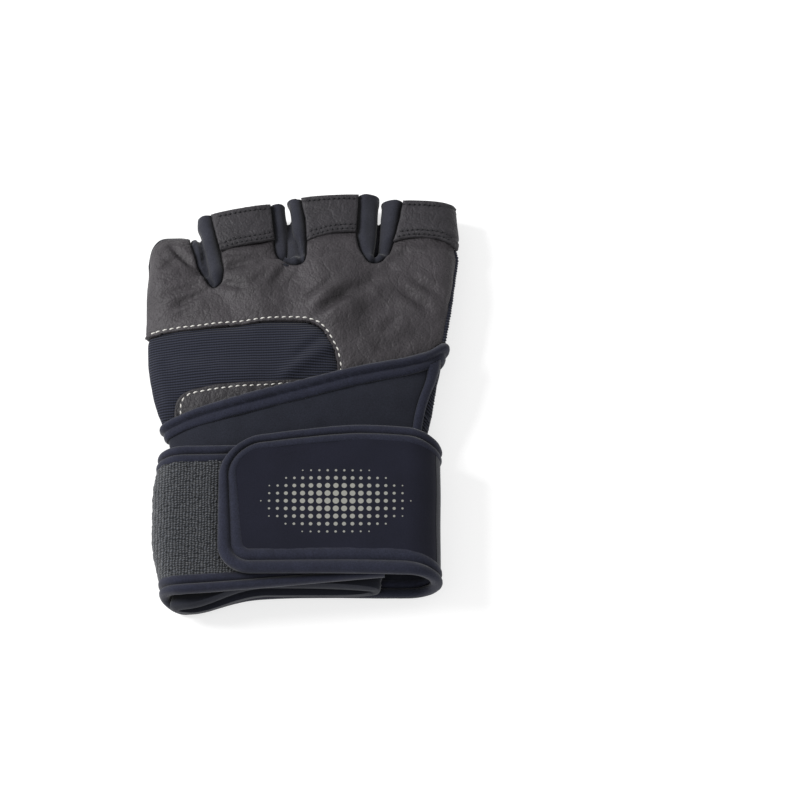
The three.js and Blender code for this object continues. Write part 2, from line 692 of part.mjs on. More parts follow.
function buildThumb() {
  const wall = thumbTube(0).subtract(thumbTube(-THUMB_WALL, THUMB_OPENING));
  const skin = wall.subtract(outerGrown).subtract(cuffTube(2 * SEAM_GAP + CUFF_SEAM_PROUD));
  const lean = THREE.MathUtils.degToRad(THUMB_LEAN);
  const root = new THREE.Vector2(handX(THUMB_ROOT.x), handY(THUMB_ROOT.y));
  const ahead = new THREE.Vector2(-Math.sin(lean), Math.cos(lean));
  const across = new THREE.Vector2(Math.cos(lean), Math.sin(lean));
  const corner = (along, side) =>
    root.clone().addScaledVector(ahead, along).addScaledVector(across, side * CUT_PAST_THUMB).toArray();
  const slab = (from, to) => prism([corner(from, -1), corner(from, 1), corner(to, 1), corner(to, -1)]);
  const seam = THUMB_LENGTH - THUMB_HEM_LENGTH;
  piece("thumb_sleeve", skin.intersect(slab(-CUT_PAST_THUMB, seam - SEAM_GAP)), COLORS.suede, 0.95);
  piece("thumb_hem", skin.intersect(slab(seam, THUMB_LENGTH + CUT_PAST_HEM)), COLORS.leather, 0.6);
}

// Where the cuff's side seam runs, in shares of half the hand's width and of its length.
const CUFF_SEAM = { side: 0.735, front: 0.37 };
const CUFF_OPENING = 2;

function buildCuff() {
  const hollow = cuffTube(-CUFF_WALL, CUFF_OPENING).add(outerGrown);
  const belowBinding = belowCuffEdge(CUFF_BINDING_WIDTH + SEAM_GAP);
  piece("cuff", cuffTube(0).subtract(hollow).intersect(belowBinding), COLORS.padded, 0.9);
  const band = belowCuffEdge(0).intersect(aboveCuffEdge(CUFF_BINDING_WIDTH));
  piece("cuff_binding", cuffTube(CUFF_BINDING_PROUD).subtract(hollow).intersect(band), COLORS.binding, 0.9);
  const back = WRAP_LOWER_EDGE + WRAP_WIDTH + WRAP_CLEARANCE + CUFF_SEAM_CLEARANCE;
  const front = handY(CUFF_SEAM.front);
  const atBack = handX(CUFF_SEAM.side) - CUFF_SEAM_LEAN;
  const atFront = handX(CUFF_SEAM.side) + CUFF_SEAM_LEAN;
  const strip = prism([
    [atBack, back],
    [atBack + CUFF_SEAM_WIDTH, back],
    [atFront + CUFF_SEAM_WIDTH, front],
    [atFront, front],
  ]);
  const raised = cuffTube(SEAM_GAP + CUFF_SEAM_PROUD).subtract(cuffTube(SEAM_GAP)).intersect(strip);
  piece("cuff_side_seam", raised.intersect(belowBinding).intersect(upperSpace), COLORS.binding, 0.9);
}

// The strap's path across the wrist: inner layer, left fold, palm layer, right fold, flap.
const LAYER = WRAP_BINDING_THICKNESS + WRAP_CLEARANCE;
const LOW_LAYER = WRAP_BINDING_THICKNESS / 2;
const FLAP_LAYER = WRAP_INNER_HEIGHT + LAYER;
const LEFT_RADIUS = (WRAP_INNER_HEIGHT - LOW_LAYER) / 2;
const RIGHT_RADIUS = (FLAP_LAYER - LOW_LAYER) / 2;
const LEFT_CENTRE = WRAP_LEFT + WRAP_BINDING_THICKNESS / 2 + LEFT_RADIUS;
const RIGHT_CENTRE = WRAP_RIGHT - WRAP_BINDING_THICKNESS / 2 - RIGHT_RADIUS;
const STRETCHES = [
  { length: WRAP_START - LEFT_CENTRE },
  { length: Math.PI * LEFT_RADIUS },
  { length: RIGHT_CENTRE - LEFT_CENTRE },
  { length: Math.PI * RIGHT_RADIUS },
  { length: RIGHT_CENTRE - FLAP_END },
];
const WRAP_LENGTH = STRETCHES.reduce((sum, stretch) => sum + stretch.length, 0);

// Place, outward direction and turn count at a length along the strap.
function wrapAt(length) {
  let rest = length;
  let i = 0;
  while (i < STRETCHES.length - 1 && rest > STRETCHES[i].length) {
    rest -= STRETCHES[i].length;
    i += 1;
  }
  const turn = i + rest / STRETCHES[i].length;
  if (i === 0) return { x: WRAP_START - rest, z: WRAP_INNER_HEIGHT, outX: 0, outZ: 1, turn };
  if (i === 2) return { x: LEFT_CENTRE + rest, z: LOW_LAYER, outX: 0, outZ: -1, turn };
  if (i === 4) return { x: RIGHT_CENTRE - rest, z: FLAP_LAYER, outX: 0, outZ: 1, turn };
  const left = i === 1;
  const radius = left ? LEFT_RADIUS : RIGHT_RADIUS;
  const centre = left ? LEFT_CENTRE : RIGHT_CENTRE;
  const angle = Math.PI / 2 + rest / radius + (left ? 0 : Math.PI);
  const [outX, outZ] = [Math.cos(angle), Math.sin(angle)];
  return { x: centre + radius * outX, z: LOW_LAYER + radius + radius * outZ, outX, outZ, turn };
}

// Winds a point of the flat strap: length along it, height across it from its lower edge, and lift.
function wound(length, across, lift) {
  const at = wrapAt(length);
  const skew = rowAt(WRAP_SKEW, "turn", at.turn);
  const share = across / WRAP_WIDTH;
  const y = WRAP_LOWER_EDGE + across + WRAP_WIDTH * THREE.MathUtils.lerp(skew.lower, skew.upper, share);
  return new THREE.Vector3(at.x + at.outX * lift, y, at.z + at.outZ * lift);
}

const WRAP_STEP = 5.5;

// Stations along the strap, close together in its folds.
function wrapStations(from, to) {
  const count = Math.ceil((to - from) / WRAP_STEP);
  return Array.from({ length: count + 1 }, (_, i) => THREE.MathUtils.lerp(from, to, i / count));
}

// How far the round corners of the flap's end draw its edges in.
function cornerInset(length, end, radius) {
  const into = length - (end - radius);
  return into <= 0 ? 0 : radius - Math.sqrt(Math.max(radius * radius - into * into, 0));
}

// Shares of a round corner at which the strap has a section.
const CORNER_SHARES = [0.5, 0.8, 0.95, 1];

// A stretch of the strap inside its bindings. The flap's end has round corners.
function strapPanel(from, to, cornerEnd) {
  const margin = WRAP_BINDING_WIDTH + SEAM_GAP;
  const radius = cornerEnd ? FLAP_CORNER - WRAP_BINDING_WIDTH : 0;
  const stations = wrapStations(from, to - radius);
  if (cornerEnd) stations.push(...CORNER_SHARES.map((share) => to - radius + radius * share));
  const rings = stations.map((length) => {
    const inset = margin + (cornerEnd ? cornerInset(length, to, radius) : 0);
    const half = WRAP_THICKNESS / 2;
    return [
      wound(length, inset, -half),
      wound(length, WRAP_WIDTH - inset, -half),
      wound(length, WRAP_WIDTH - inset, half),
      wound(length, inset, half),
    ];
  });
  return loft(rings);
}

const BINDING_CORNER_STEPS = 5;

// The binding's run: up one edge of the strap, round the flap's corners and back along the other.
function bindingRun() {
  const cornerStart = WRAP_LENGTH - FLAP_CORNER;
  const straight = wrapStations(0, cornerStart);
  const run = straight.map((length) => ({ length, across: WRAP_WIDTH, inLength: 0, inAcross: -1 }));
  const turnTo = (angle, centre) => {
    const [ahead, aside] = [Math.cos(angle), Math.sin(angle)];
    run.push({
      length: cornerStart + FLAP_CORNER * ahead,
      across: centre + FLAP_CORNER * aside,
      inLength: -ahead,
      inAcross: -aside,
    });
  };
  const quarter = Math.PI / 2;
  for (let k = 1; k <= BINDING_CORNER_STEPS; k += 1)
    turnTo(quarter * (1 - k / BINDING_CORNER_STEPS), WRAP_WIDTH - FLAP_CORNER);
  for (let k = 0; k < BINDING_CORNER_STEPS; k += 1)
    turnTo((-quarter * k) / BINDING_CORNER_STEPS, FLAP_CORNER);
  for (const length of straight.reverse()) run.push({ length, across: 0, inLength: 0, inAcross: 1 });
  return run;
}

// The binding's section: inward is a share of its width and lift a share of its thickness.
const BINDING_SECTION = [
  { inward: 0, lift: -0.28 },
  { inward: 0.16, lift: -0.5 },
  { inward: 0.84, lift: -0.5 },
  { inward: 1, lift: -0.3 },
  { inward: 1, lift: 0.3 },
  { inward: 0.84, lift: 0.5 },
  { inward: 0.16, lift: 0.5 },
  { inward: 0, lift: 0.28 },
];

function buildWrap() {
  const loopEnd = STRETCHES[0].length + STRETCHES[1].length + LOOP_END_ON_PALM - LEFT_CENTRE;
  const flapStart = Math.max(WRAP_LENGTH - (FLAP_PANEL_EDGE - FLAP_END), loopEnd + WRAP_STEP);
  const flapEnd = WRAP_LENGTH - WRAP_BINDING_WIDTH - SEAM_GAP;
  piece("loop_band", strapPanel(0, loopEnd, false), COLORS.loop, 1);
  piece("wrap_strap", strapPanel(loopEnd + SEAM_GAP, flapStart - SEAM_GAP, false), COLORS.padded, 0.9);
  piece("flap_panel", strapPanel(flapStart, flapEnd, true), COLORS.flap, 0.85);
  const rings = bindingRun().map((at) =>
    BINDING_SECTION.map((corner) => {
      const inward = corner.inward * WRAP_BINDING_WIDTH;
      const lift = corner.lift * WRAP_BINDING_THICKNESS;
      return wound(at.length + at.inLength * inward, at.across + at.inAcross * inward, lift);
    }),
  );
  piece("wrap_binding", loft(rings), COLORS.binding, 0.9);
}

buildHand();
buildHems();
buildPatch();
buildPiping();
buildPalmPatch();
buildThumb();
buildCuff();
buildWrap();

// The frame's origin is under the middle of the glove, on the surface that it lies on.
const bounds = new THREE.Box3().setFromObject(glove);
const middle = bounds.getCenter(new THREE.Vector3());
glove.position.set(-middle.x, -middle.y, -bounds.min.z);

export default glove;
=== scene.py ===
import math
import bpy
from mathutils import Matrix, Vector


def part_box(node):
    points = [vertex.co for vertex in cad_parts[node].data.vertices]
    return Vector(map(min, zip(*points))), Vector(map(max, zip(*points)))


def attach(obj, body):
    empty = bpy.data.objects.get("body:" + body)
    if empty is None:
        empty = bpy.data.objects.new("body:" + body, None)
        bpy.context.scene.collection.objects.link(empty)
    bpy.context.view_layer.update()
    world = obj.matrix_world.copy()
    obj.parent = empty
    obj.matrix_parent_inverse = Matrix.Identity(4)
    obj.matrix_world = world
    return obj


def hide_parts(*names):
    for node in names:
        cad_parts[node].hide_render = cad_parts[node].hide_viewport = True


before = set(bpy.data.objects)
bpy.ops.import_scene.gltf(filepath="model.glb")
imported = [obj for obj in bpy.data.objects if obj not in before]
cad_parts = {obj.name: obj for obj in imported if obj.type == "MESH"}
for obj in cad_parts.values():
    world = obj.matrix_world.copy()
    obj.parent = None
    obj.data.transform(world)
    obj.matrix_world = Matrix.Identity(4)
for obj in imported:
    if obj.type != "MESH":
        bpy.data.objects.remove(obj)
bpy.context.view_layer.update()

from types import SimpleNamespace

import bpy
import numpy as np
from mathutils import Vector
from mathutils.bvhtree import BVHTree
from mathutils.kdtree import KDTree

# A fingerless weightlifting glove lying palm down. Shapes are worked out in millimetres on the glove's
# pattern, whose zero line crosses the middle of the cuff's upper edge, and then moved into the frame.
MM = 0.001

# Driving sizes of the hand.
HAND_WIDTH = 115.0
HAND_HEIGHT = 22.0
HAND_LENGTH = 90.0
HAND_START = -34.0
HALF_WIDTH = HAND_WIDTH / 2
LEATHER = 1.6
STUB_LOW = 2.6
STUB_HEIGHT = 11.6
STUB_REACH = 78.0
STUB_ROOT_Y = 27.0
KNIT_PALM_STRIP = 10.0

# Driving sizes of the cuff.
CUFF_LENGTH = 107.0
CUFF_START = -81.0
CUFF_WALL = 2.3
CUFF_OVERLAP = 7.0
CUFF_BINDING_WIDTH = 7.0

# Driving sizes of the wrist wrap.
WRAP_WIDTH = 58.0
WRAP_LOWER_EDGE = -80.0
WRAP_THICKNESS = 3.0
WRAP_BINDING_WIDTH = 7.0
WRAP_BINDING_THICKNESS = 4.0
WRAP_LEFT = -55.0
WRAP_RIGHT = 50.7
WRAP_START = 30.0
WRAP_CLEARANCE = 0.3
WRAP_INNER_HEIGHT = 19.0
FLAP_END = -31.8
FLAP_UPPER_CORNER = 16.0
FLAP_LOWER_CORNER = 12.0
LOOP_END_ON_PALM = -30.0
FLAP_PANEL_EDGE = 49.0
FLAP_FACE = 24.0

# Driving sizes of the thumb.
THUMB_WIDTH = 33.0
THUMB_HEIGHT = 9.2
THUMB_LENGTH = 42.0
THUMB_LEAN = math.radians(22)
THUMB_HEM_LENGTH = 8.0

# Step of the fine surfaces.
VOXEL = 0.8


def mix(a, b, share):
    return a + (b - a) * share


def smoothstep(value, low, high):
    share = np.clip((value - low) / (high - low), 0, 1)
    return share * share * (3 - 2 * share)


class Table:
    """Rows with named columns. Between two rows the values follow a smooth curve through the rows."""

    def __init__(self, columns, rows):
        self.columns = columns.split()
        self.rows = np.array(rows, float)

    def at(self, where):
        rows = self.rows
        key = rows[:, 0]
        last = len(rows) - 1
        where = np.asarray(where, float)
        i = np.searchsorted(key[1:last], where, side="left")
        before, a, b = rows[np.maximum(i - 1, 0)], rows[i], rows[i + 1]
        after = rows[np.minimum(i + 2, last)]
        span = (b[..., 0] - a[..., 0])[..., None]
        share = np.clip((where - a[..., 0]) / span[..., 0], 0, 1)[..., None]
        slope_a = (b - before) / (b[..., :1] - before[..., :1]) * span
        slope_b = (after - a) / (after[..., :1] - a[..., :1]) * span
        drop = b - a
        bend = slope_a + slope_b - 2 * drop
        ease = 3 * drop - 2 * slope_a - slope_b
        values = a + share * (slope_a + share * (ease + share * bend))
        return SimpleNamespace(**{name: values[..., k] for k, name in enumerate(self.columns)})


# Sections of the hand from wrist to knuckles. Along is a share of its length, left and right are
# shares of half its width, and the rest are shares of its height.
HAND_ROWS = Table(
    "along left right low_left low_right top_left top_right crown",
    [
        (0, -0.8, 0.72, 0.336, 0.336, 0.545, 0.568, 0.045),
        (0.156, -0.86, 0.76, 0.3, 0.345, 0.573, 0.618, 0.118),
        (0.289, -0.932, 0.807, 0.182, 0.409, 0.618, 0.709, 0.182),
        (0.422, -0.981, 0.863, 0.1, 0.436, 0.645, 0.773, 0.2),
        (0.578, -0.997, 0.904, 0.088, 0.436, 0.664, 0.8, 0.209),
        (0.733, -0.995, 0.943, 0.088, 0.427, 0.673, 0.8, 0.2),
        (0.889, -1, 0.974, 0.109, 0.364, 0.664, 0.764, 0.173),
        (1, -0.991, 0.995, 0.136, 0.273, 0.636, 0.727, 0.136),
    ],
)

# Sections of the cuff from its hem to its upper edge, in the same columns, along its own length.
CUFF_ROWS = Table(
    "along left right low_left low_right top_left top_right crown",
    [
        (0, -0.877, 0.47, 0.2, 0.2, 0.664, 0.673, 0.055),
        (0.29, -0.877, 0.643, 0.2, 0.2, 0.664, 0.673, 0.073),
        (0.495, -0.88, 0.745, 0.2, 0.2, 0.673, 0.682, 0.068),
        (0.607, -0.929, 0.805, 0.109, 0.209, 0.709, 0.75, 0.135),
        (0.72, -0.991, 0.87, 0.027, 0.291, 0.755, 0.855, 0.245),
        (0.85, -1.04, 0.927, -0.027, 0.3, 0.791, 0.918, 0.273),
        (1, -1.05, 0.981, -0.045, 0.3, 0.809, 0.945, 0.282),
    ],
)

# Soft folds on the back of the hand. Places are shares of half the width and of the hand's length,
# height is a share of its height and width a share of half its width.
FOLDS = [
    ("valley below the ring finger", (-0.6, 0.8), (-0.42, 0.66), -0.045, 0.09),
    ("valley below the middle finger", (-0.08, 0.9), (-0.1, 0.7), -0.06, 0.11),
    ("valley below the index finger", (0.45, 0.92), (0.42, 0.72), -0.055, 0.11),
    ("swelling of the ring knuckle", (-0.36, 0.84), (-0.3, 0.74), 0.045, 0.14),
    ("swelling of the middle knuckle", (0.16, 0.88), (0.18, 0.76), 0.045, 0.16),
    ("slanting fold beside the knit", (0.3, 0.66), (-0.02, 0.5), 0.05, 0.1),
    ("dent over the index side", (0.62, 0.7), (0.74, 0.52), -0.05, 0.13),
]

# Heights of the seam between back and palm on the two sides, in shares of the hand's height.
SPLIT_ROWS = Table(
    "along left right",
    [
        (-0.1, 0.44, 0.45),
        (0.36, 0.39, 0.59),
        (0.7, 0.38, 0.62),
        (0.93, 0.38, 0.52),
        (1.3, 0.39, 0.4),
    ],
)

# Finger stubs: places and widths at root and tip in shares of half the width, reach in shares of the
# stubs' reach, slant of the mouth in degrees.
STUBS = [
    ("pinky", -0.805, -0.815, 0.38, 0.345, 0.82, 0, True),
    ("ring", -0.352, -0.412, 0.53, 0.545, 0.93, 11, False),
    ("middle", 0.18, 0.182, 0.53, 0.585, 1, 3, False),
    ("index", 0.715, 0.737, 0.52, 0.466, 0.97, -2, False),
]
STUBS = [
    SimpleNamespace(name=n, root=r, tip=t, root_width=w, tip_width=v, reach=e, slant=math.radians(s), curled=c)
    for n, r, t, w, v, e, s, c in STUBS
]

# Where the slits between the stubs end.
CROTCHES = [(-0.615, 0.86), (-0.088, 0.945), (0.448, 0.955)]

# Stations of a stub's tube, from inside the hand to its mouth. The curled one bends to the floor.
STRAIGHT = Table(
    "along size pitch drop",
    [(0, 0.72, 0, 0), (0.3, 0.97, 0, 0), (0.55, 1, 0, 0), (0.8, 1, 0, 0), (1, 0.97, 0, 0)],
)
CURLED = Table(
    "along size pitch drop",
    [
        (0, 0.72, 0, 0),
        (0.35, 0.97, -2, 0),
        (0.6, 1, -10, 0.02),
        (0.78, 0.96, -30, 0.08),
        (0.88, 0.88, -55, 0.19),
        (0.91, 0.82, -70, 0.27),
    ],
)
PALM_SLOPE = (0.38, 0.62)

# The strap's lower and upper edges move along the glove, in shares of its width, turn by turn.
WRAP_SKEW = Table(
    "turn lower upper",
    [
        (0, 0.02, -0.08),
        (1, -0.09, -0.095),
        (1.5, -0.07, -0.1),
        (2, -0.11, -0.12),
        (2.35, -0.01, -0.06),
        (3, 0, -0.03),
        (3.5, 0, -0.06),
        (4, 0.008, 0.0),
        (4.3, 0.015, 0.012),
        (5, 0.015, -0.085),
    ],
)

THUMB_STATIONS = Table(
    "along height rise width",
    [
        (-0.2, 0.55, 0.92, 0.6),
        (0, 0.96, 0.2, 0.9),
        (0.25, 1, 0, 1),
        (0.6, 1, 0, 0.97),
        (1, 1, 0, 0.92),
    ],
)
THUMB_ROOT = (0.61, 0.38)


def hand_x(share):
    return share * HALF_WIDTH


def hand_y(share):
    return HAND_START + share * HAND_LENGTH


def hand_z(share):
    return share * HAND_HEIGHT


# The frame's origin lies this far from the pattern's, which the palm patch's corner shows.
PATCH_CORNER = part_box("palm_patch")[0]
SHIFT = np.array([PATCH_CORNER[0] / MM - hand_x(-0.8), PATCH_CORNER[1] / MM - hand_y(0.5), 0.0])


# Outlines on the pattern, closed unless a comment says otherwise.
OUTLINES = {
    "pinky_ring": [
        (-44, 90), (-42.6, 62), (-41.8, 58), (-40, 51), (-37.6, 44.7), (-35.8, 40.5), (-34, 38.6), (-32.4, 38.8),
        (-30.7, 41.2), (-30.3, 45.7), (-31.4, 53.1), (-32.9, 60.4), (-34.4, 68.2), (-38.5, 90),
    ],
    "ring_middle": [
        (-15.3, 90), (-12.6, 73.7), (-11.1, 59), (-10.4, 53.3), (-8.5, 49.6), (-5.2, 47.3), (-1.9, 47),
        (0, 48.8), (0.7, 55.4), (0, 67.6), (-1.5, 75.8), (-3.3, 90),
    ],
    "middle_index": [
        (20.2, 90), (20, 77.8), (19.6, 63.5), (20, 57.4), (21.8, 52.5), (23.7, 49.2), (25.9, 48.4), (28.5, 49.2),
        (30, 51.3), (31.4, 53.3), (32.6, 57.4), (34, 60.7), (35.1, 67.6), (36.3, 75), (38.8, 90),
    ],
}

# The leather's edge over the knit, from the little finger's side to the cuff, and its white stitches.
KNIT_EDGE = [
    (-90, 20), (-57, 20.6), (-54, 20.9), (-45.9, 21.3), (-38.5, 21.3), (-23.7, 22), (-8.9, 23.1),
    (-1.5, 22.8), (2.2, 21.9), (5.2, 20.3), (7.8, 17.4), (9.6, 14.2), (11.5, 10.5), (12.2, 6.4), (12.6, 3.6),
    (12.8, -20), (12.8, -60),
]


def curve_through(points, per_span=6):
    """A smooth open line through a few points."""
    points = np.array(points, float)
    ends = np.vstack([2 * points[0] - points[1], points, 2 * points[-1] - points[-2]])
    share = np.linspace(0, 1, per_span, endpoint=False)[:, None]
    spans = []
    for k in range(1, len(ends) - 2):
        p, a, b, n = ends[k - 1], ends[k], ends[k + 1], ends[k + 2]
        bend = (-p + 3 * a - 3 * b + n) * share**3 + (2 * p - 5 * a + 4 * b - n) * share**2
        spans.append(0.5 * (bend + (b - p) * share + 2 * a))
    return np.vstack(spans + [points[-1:]])


def line_distance(xy, line):
    """Distance in the plane from each point to an open line."""
    best = np.full(len(xy), np.inf)
    for a, b in zip(line[:-1], line[1:]):
        run = b - a
        share = np.clip((xy - a) @ run / max(run @ run, 1e-9), 0, 1)
        best = np.minimum(best, np.hypot(*(xy - a - share[:, None] * run).T))
    return best


def region_distance(xy, outline):
    """Distance in the plane to a closed outline, below zero inside it."""
    closed = np.vstack([outline, outline[:1]])
    inside = np.zeros(len(xy), bool)
    for a, b in zip(closed[:-1], closed[1:]):
        crosses = (a[1] > xy[:, 1]) != (b[1] > xy[:, 1])
        level = np.where(crosses, xy[:, 1], a[1])
        reach = a[0] + (level - a[1]) / (b[1] - a[1] if b[1] != a[1] else 1) * (b[0] - a[0])
        inside ^= crosses & (xy[:, 0] < reach)
    distance = line_distance(xy, closed)
    return np.where(inside, -distance, distance)


CUFF_EDGE = curve_through([
    (-64, -19.3), (-52, -15.2), (-40, -11.4), (-31, -9.4), (-15, -5.9), (2, -2.1), (18, 2.2), (35, 6.7),
    (43, 9.7), (47, 12), (50, 14.6), (54, 17.5), (62, 21),
])


def cuff_edge(x):
    """The cuff's upper edge slants up towards the index finger."""
    return np.interp(x, *CUFF_EDGE.T)


def pinch(x, y):
    """The wrist side under the little finger is drawn in at both ends of the wrap."""
    ends = 3 * smoothstep(y, -45, -22) + 4 * (1 - smoothstep(y, -86, -60))
    return smoothstep(-x, 18, 52) * ends


LATTICE = np.random.default_rng(7).uniform(-1, 1, (32, 32, 32))


def noise(points, size, seed=0):
    """Smooth random heights from -1 to 1 with bumps of about that size in millimetres."""
    place = points / size + 11.3 * (seed + 1)
    cell = np.floor(place).astype(int)
    share = place - cell
    share = share * share * (3 - 2 * share)
    total = np.zeros(len(points))
    for corner in np.ndindex(2, 2, 2):
        weight = np.prod(np.where(corner, share, 1 - share), axis=1)
        i, j, k = ((cell + corner) % 32).T
        total += weight * LATTICE[i, j, k]
    return total


def fold_height(x, y):
    height = np.zeros(np.broadcast(x, y).shape)
    for _, (from_x, from_y), (to_x, to_y), rise, width in FOLDS:
        start = np.array([hand_x(from_x), hand_y(from_y)])
        run = np.array([hand_x(to_x), hand_y(to_y)]) - start
        share = np.clip(((x - start[0]) * run[0] + (y - start[1]) * run[1]) / (run @ run), 0, 1)
        away = np.hypot(x - start[0] - share * run[0], y - start[1] - share * run[1])
        height = height + hand_z(rise) * np.exp(-((away / hand_x(width)) ** 2))
    return height


def tube(table, start, length, columns, steps, folded=False):
    """Rings of points round a flattened tube whose underside is flatter than its top."""
    along = np.linspace(0, 1, steps + 1)[:, None]
    row = table.at(along)
    across = -np.cos(np.pi * np.arange(columns + 1) / columns)[None, :]
    share = (1 + across) / 2
    x = mix(hand_x(row.left), hand_x(row.right), share)
    y = start + along * length + 0 * x
    top_line = hand_z(mix(row.top_left, row.top_right, share))
    low_line = hand_z(mix(row.low_left, row.low_right, smoothstep(share, *PALM_SLOPE)))
    fold = fold_height(x, y) * (1 - across**8) if folded else 0
    top = top_line + hand_z(row.crown) * (1 - across**2) + fold
    middle = (top_line + low_line) / 2
    dome_top = np.maximum(0, 1 - np.abs(across) ** 3) ** (1 / 2.6)
    dome_low = np.maximum(0, 1 - np.abs(across) ** 6) ** (1 / 3)
    upper = np.stack([x, y, middle + (top - middle) * dome_top], axis=-1)
    under = np.stack([x, y, middle - (middle - low_line) * dome_low], axis=-1)
    return np.concatenate([upper, under[:, -2:0:-1]], axis=1)


def hand_surface(x, y):
    """Heights of the smooth back and palm at a point of the pattern, without folds."""
    row = HAND_ROWS.at((min(y, hand_y(1)) - HAND_START) / HAND_LENGTH)
    share = (x / HALF_WIDTH - row.left) / (row.right - row.left)
    across = 2 * share - 1
    back = hand_z(mix(row.top_left, row.top_right, share) + row.crown * (1 - across**2))
    return back, hand_z(mix(row.low_left, row.low_right, smoothstep(share, *PALM_SLOPE)))


def stub_station(stub, along):
    """Centre, half width, half height, across, ahead and up of a stub's section."""
    station = (CURLED if stub.curled else STRAIGHT).at(along)
    x = mix(hand_x(stub.root), hand_x(stub.tip), along)
    y = mix(STUB_ROOT_Y, stub.reach * STUB_REACH, along)
    back, palm = hand_surface(x, y)
    to_tip = smoothstep(along, 0.3, 1)
    top = mix(back, STUB_LOW + STUB_HEIGHT, to_tip)
    low = mix(palm, STUB_LOW, to_tip)
    width = hand_x(mix(stub.root_width, stub.tip_width, along)) * station.size
    centre = np.array([x, y, (top + low) / 2 - hand_z(station.drop)])
    pitch = math.radians(station.pitch)
    ahead = np.array([0, math.cos(pitch), math.sin(pitch)])
    up = np.array([0, -math.sin(pitch), math.cos(pitch)])
    turn = stub.slant * along
    across = np.array([math.cos(turn), math.sin(turn), 0])
    return centre, width / 2, (top - low) * station.size / 2, across, ahead, up


STUB_POWER = 0.78


def rounded_ring(sides, power_x, power_z):
    angle = 2 * np.pi * np.arange(sides) / sides
    side = np.sign(np.cos(angle)) * np.abs(np.cos(angle)) ** power_x
    rise = np.sign(np.sin(angle)) * np.abs(np.sin(angle)) ** power_z
    return side[:, None], rise[:, None]


def stub_rings(stub, beyond):
    side, rise = rounded_ring(64, STUB_POWER, STUB_POWER)
    last = CURLED.rows[-1, 0] if stub.curled else 1
    rings = []
    for along in np.linspace(0, last, 26):
        centre, half, height, across, ahead, up = stub_station(stub, along)
        rings.append(centre + side * across * half + rise * up * height)
    rings.append(rings[-1] + ahead * beyond)
    return np.array(rings)


def loft(rings):
    """Points and faces of a closed skin over rings."""
    steps, count = rings.shape[:2]
    points = rings.reshape(-1, 3)
    faces = []
    for r in range(steps - 1):
        here = r * count + np.arange(count)
        side = r * count + (np.arange(count) + 1) % count
        faces += np.stack([here, here + count, side + count, side], axis=1).tolist()
    faces.append(list(range(count)))
    faces.append([(steps - 1) * count + k for k in reversed(range(count))])
    return points, faces


def grid_faces(rows, columns):
    here = (np.arange(rows - 1)[:, None] * columns + np.arange(columns - 1)).ravel()
    return np.stack([here, here + 1, here + columns + 1, here + columns], axis=1)


def triangles_of(mesh):
    mesh.calc_loop_triangles()
    points = np.empty(len(mesh.vertices) * 3, np.float32)
    mesh.vertices.foreach_get("co", points)
    tris = np.empty(len(mesh.loop_triangles) * 3, np.int32)
    mesh.loop_triangles.foreach_get("vertices", tris)
    return points.reshape(-1, 3).astype(float), tris.reshape(-1, 3).astype(int)


def united(lofts, voxel):
    """One closed surface round several closed skins that overlap."""
    points, faces = [], []
    for some_points, some_faces in lofts:
        first = sum(len(p) for p in points)
        points.append(some_points)
        faces += [[first + k for k in face] for face in some_faces]
    mesh = bpy.data.meshes.new("form")
    mesh.from_pydata(np.vstack(points).tolist(), [], faces)
    mesh.update()
    form = bpy.data.objects.new("form", mesh)
    bpy.context.scene.collection.objects.link(form)
    remesh = form.modifiers.new("voxels", "REMESH")
    remesh.mode = "VOXEL"
    remesh.voxel_size = voxel
    made = form.evaluated_get(bpy.context.evaluated_depsgraph_get()).to_mesh()
    result = triangles_of(made)
    bpy.data.objects.remove(form)
    bpy.data.meshes.remove(mesh)
    return result


def edges_of(tris):
    pairs = np.sort(np.vstack([tris[:, [0, 1]], tris[:, [1, 2]], tris[:, [2, 0]]]), axis=1)
    return np.unique(pairs, axis=0)


def relaxed(points, tris, rounds, weight=0.5):
    """Points drawn towards their neighbours' mean again and again."""
    a, b = edges_of(tris).T
    count = np.bincount(a, minlength=len(points)) + np.bincount(b, minlength=len(points))
    count = np.maximum(count, 1)[:, None]
    for _ in range(rounds):
        total = np.stack(
            [
                np.bincount(a, points[b, k], len(points)) + np.bincount(b, points[a, k], len(points))
                for k in range(points.shape[1])
            ],
            axis=1,
        )
        points = points + weight * (total / count - points)
    return points


def normals_of(points, tris):
    corner = points[tris]
    face = np.cross(corner[:, 1] - corner[:, 0], corner[:, 2] - corner[:, 0])
    total = np.zeros_like(points)
    for k in range(3):
        for axis in range(3):
            total[:, axis] += np.bincount(tris[:, k], face[:, axis], len(points))
    return total / np.maximum(np.linalg.norm(total, axis=1), 1e-12)[:, None]


def compact(points, tris):
    used, place = np.unique(tris, return_inverse=True)
    return points[used], place.reshape(-1, 3)


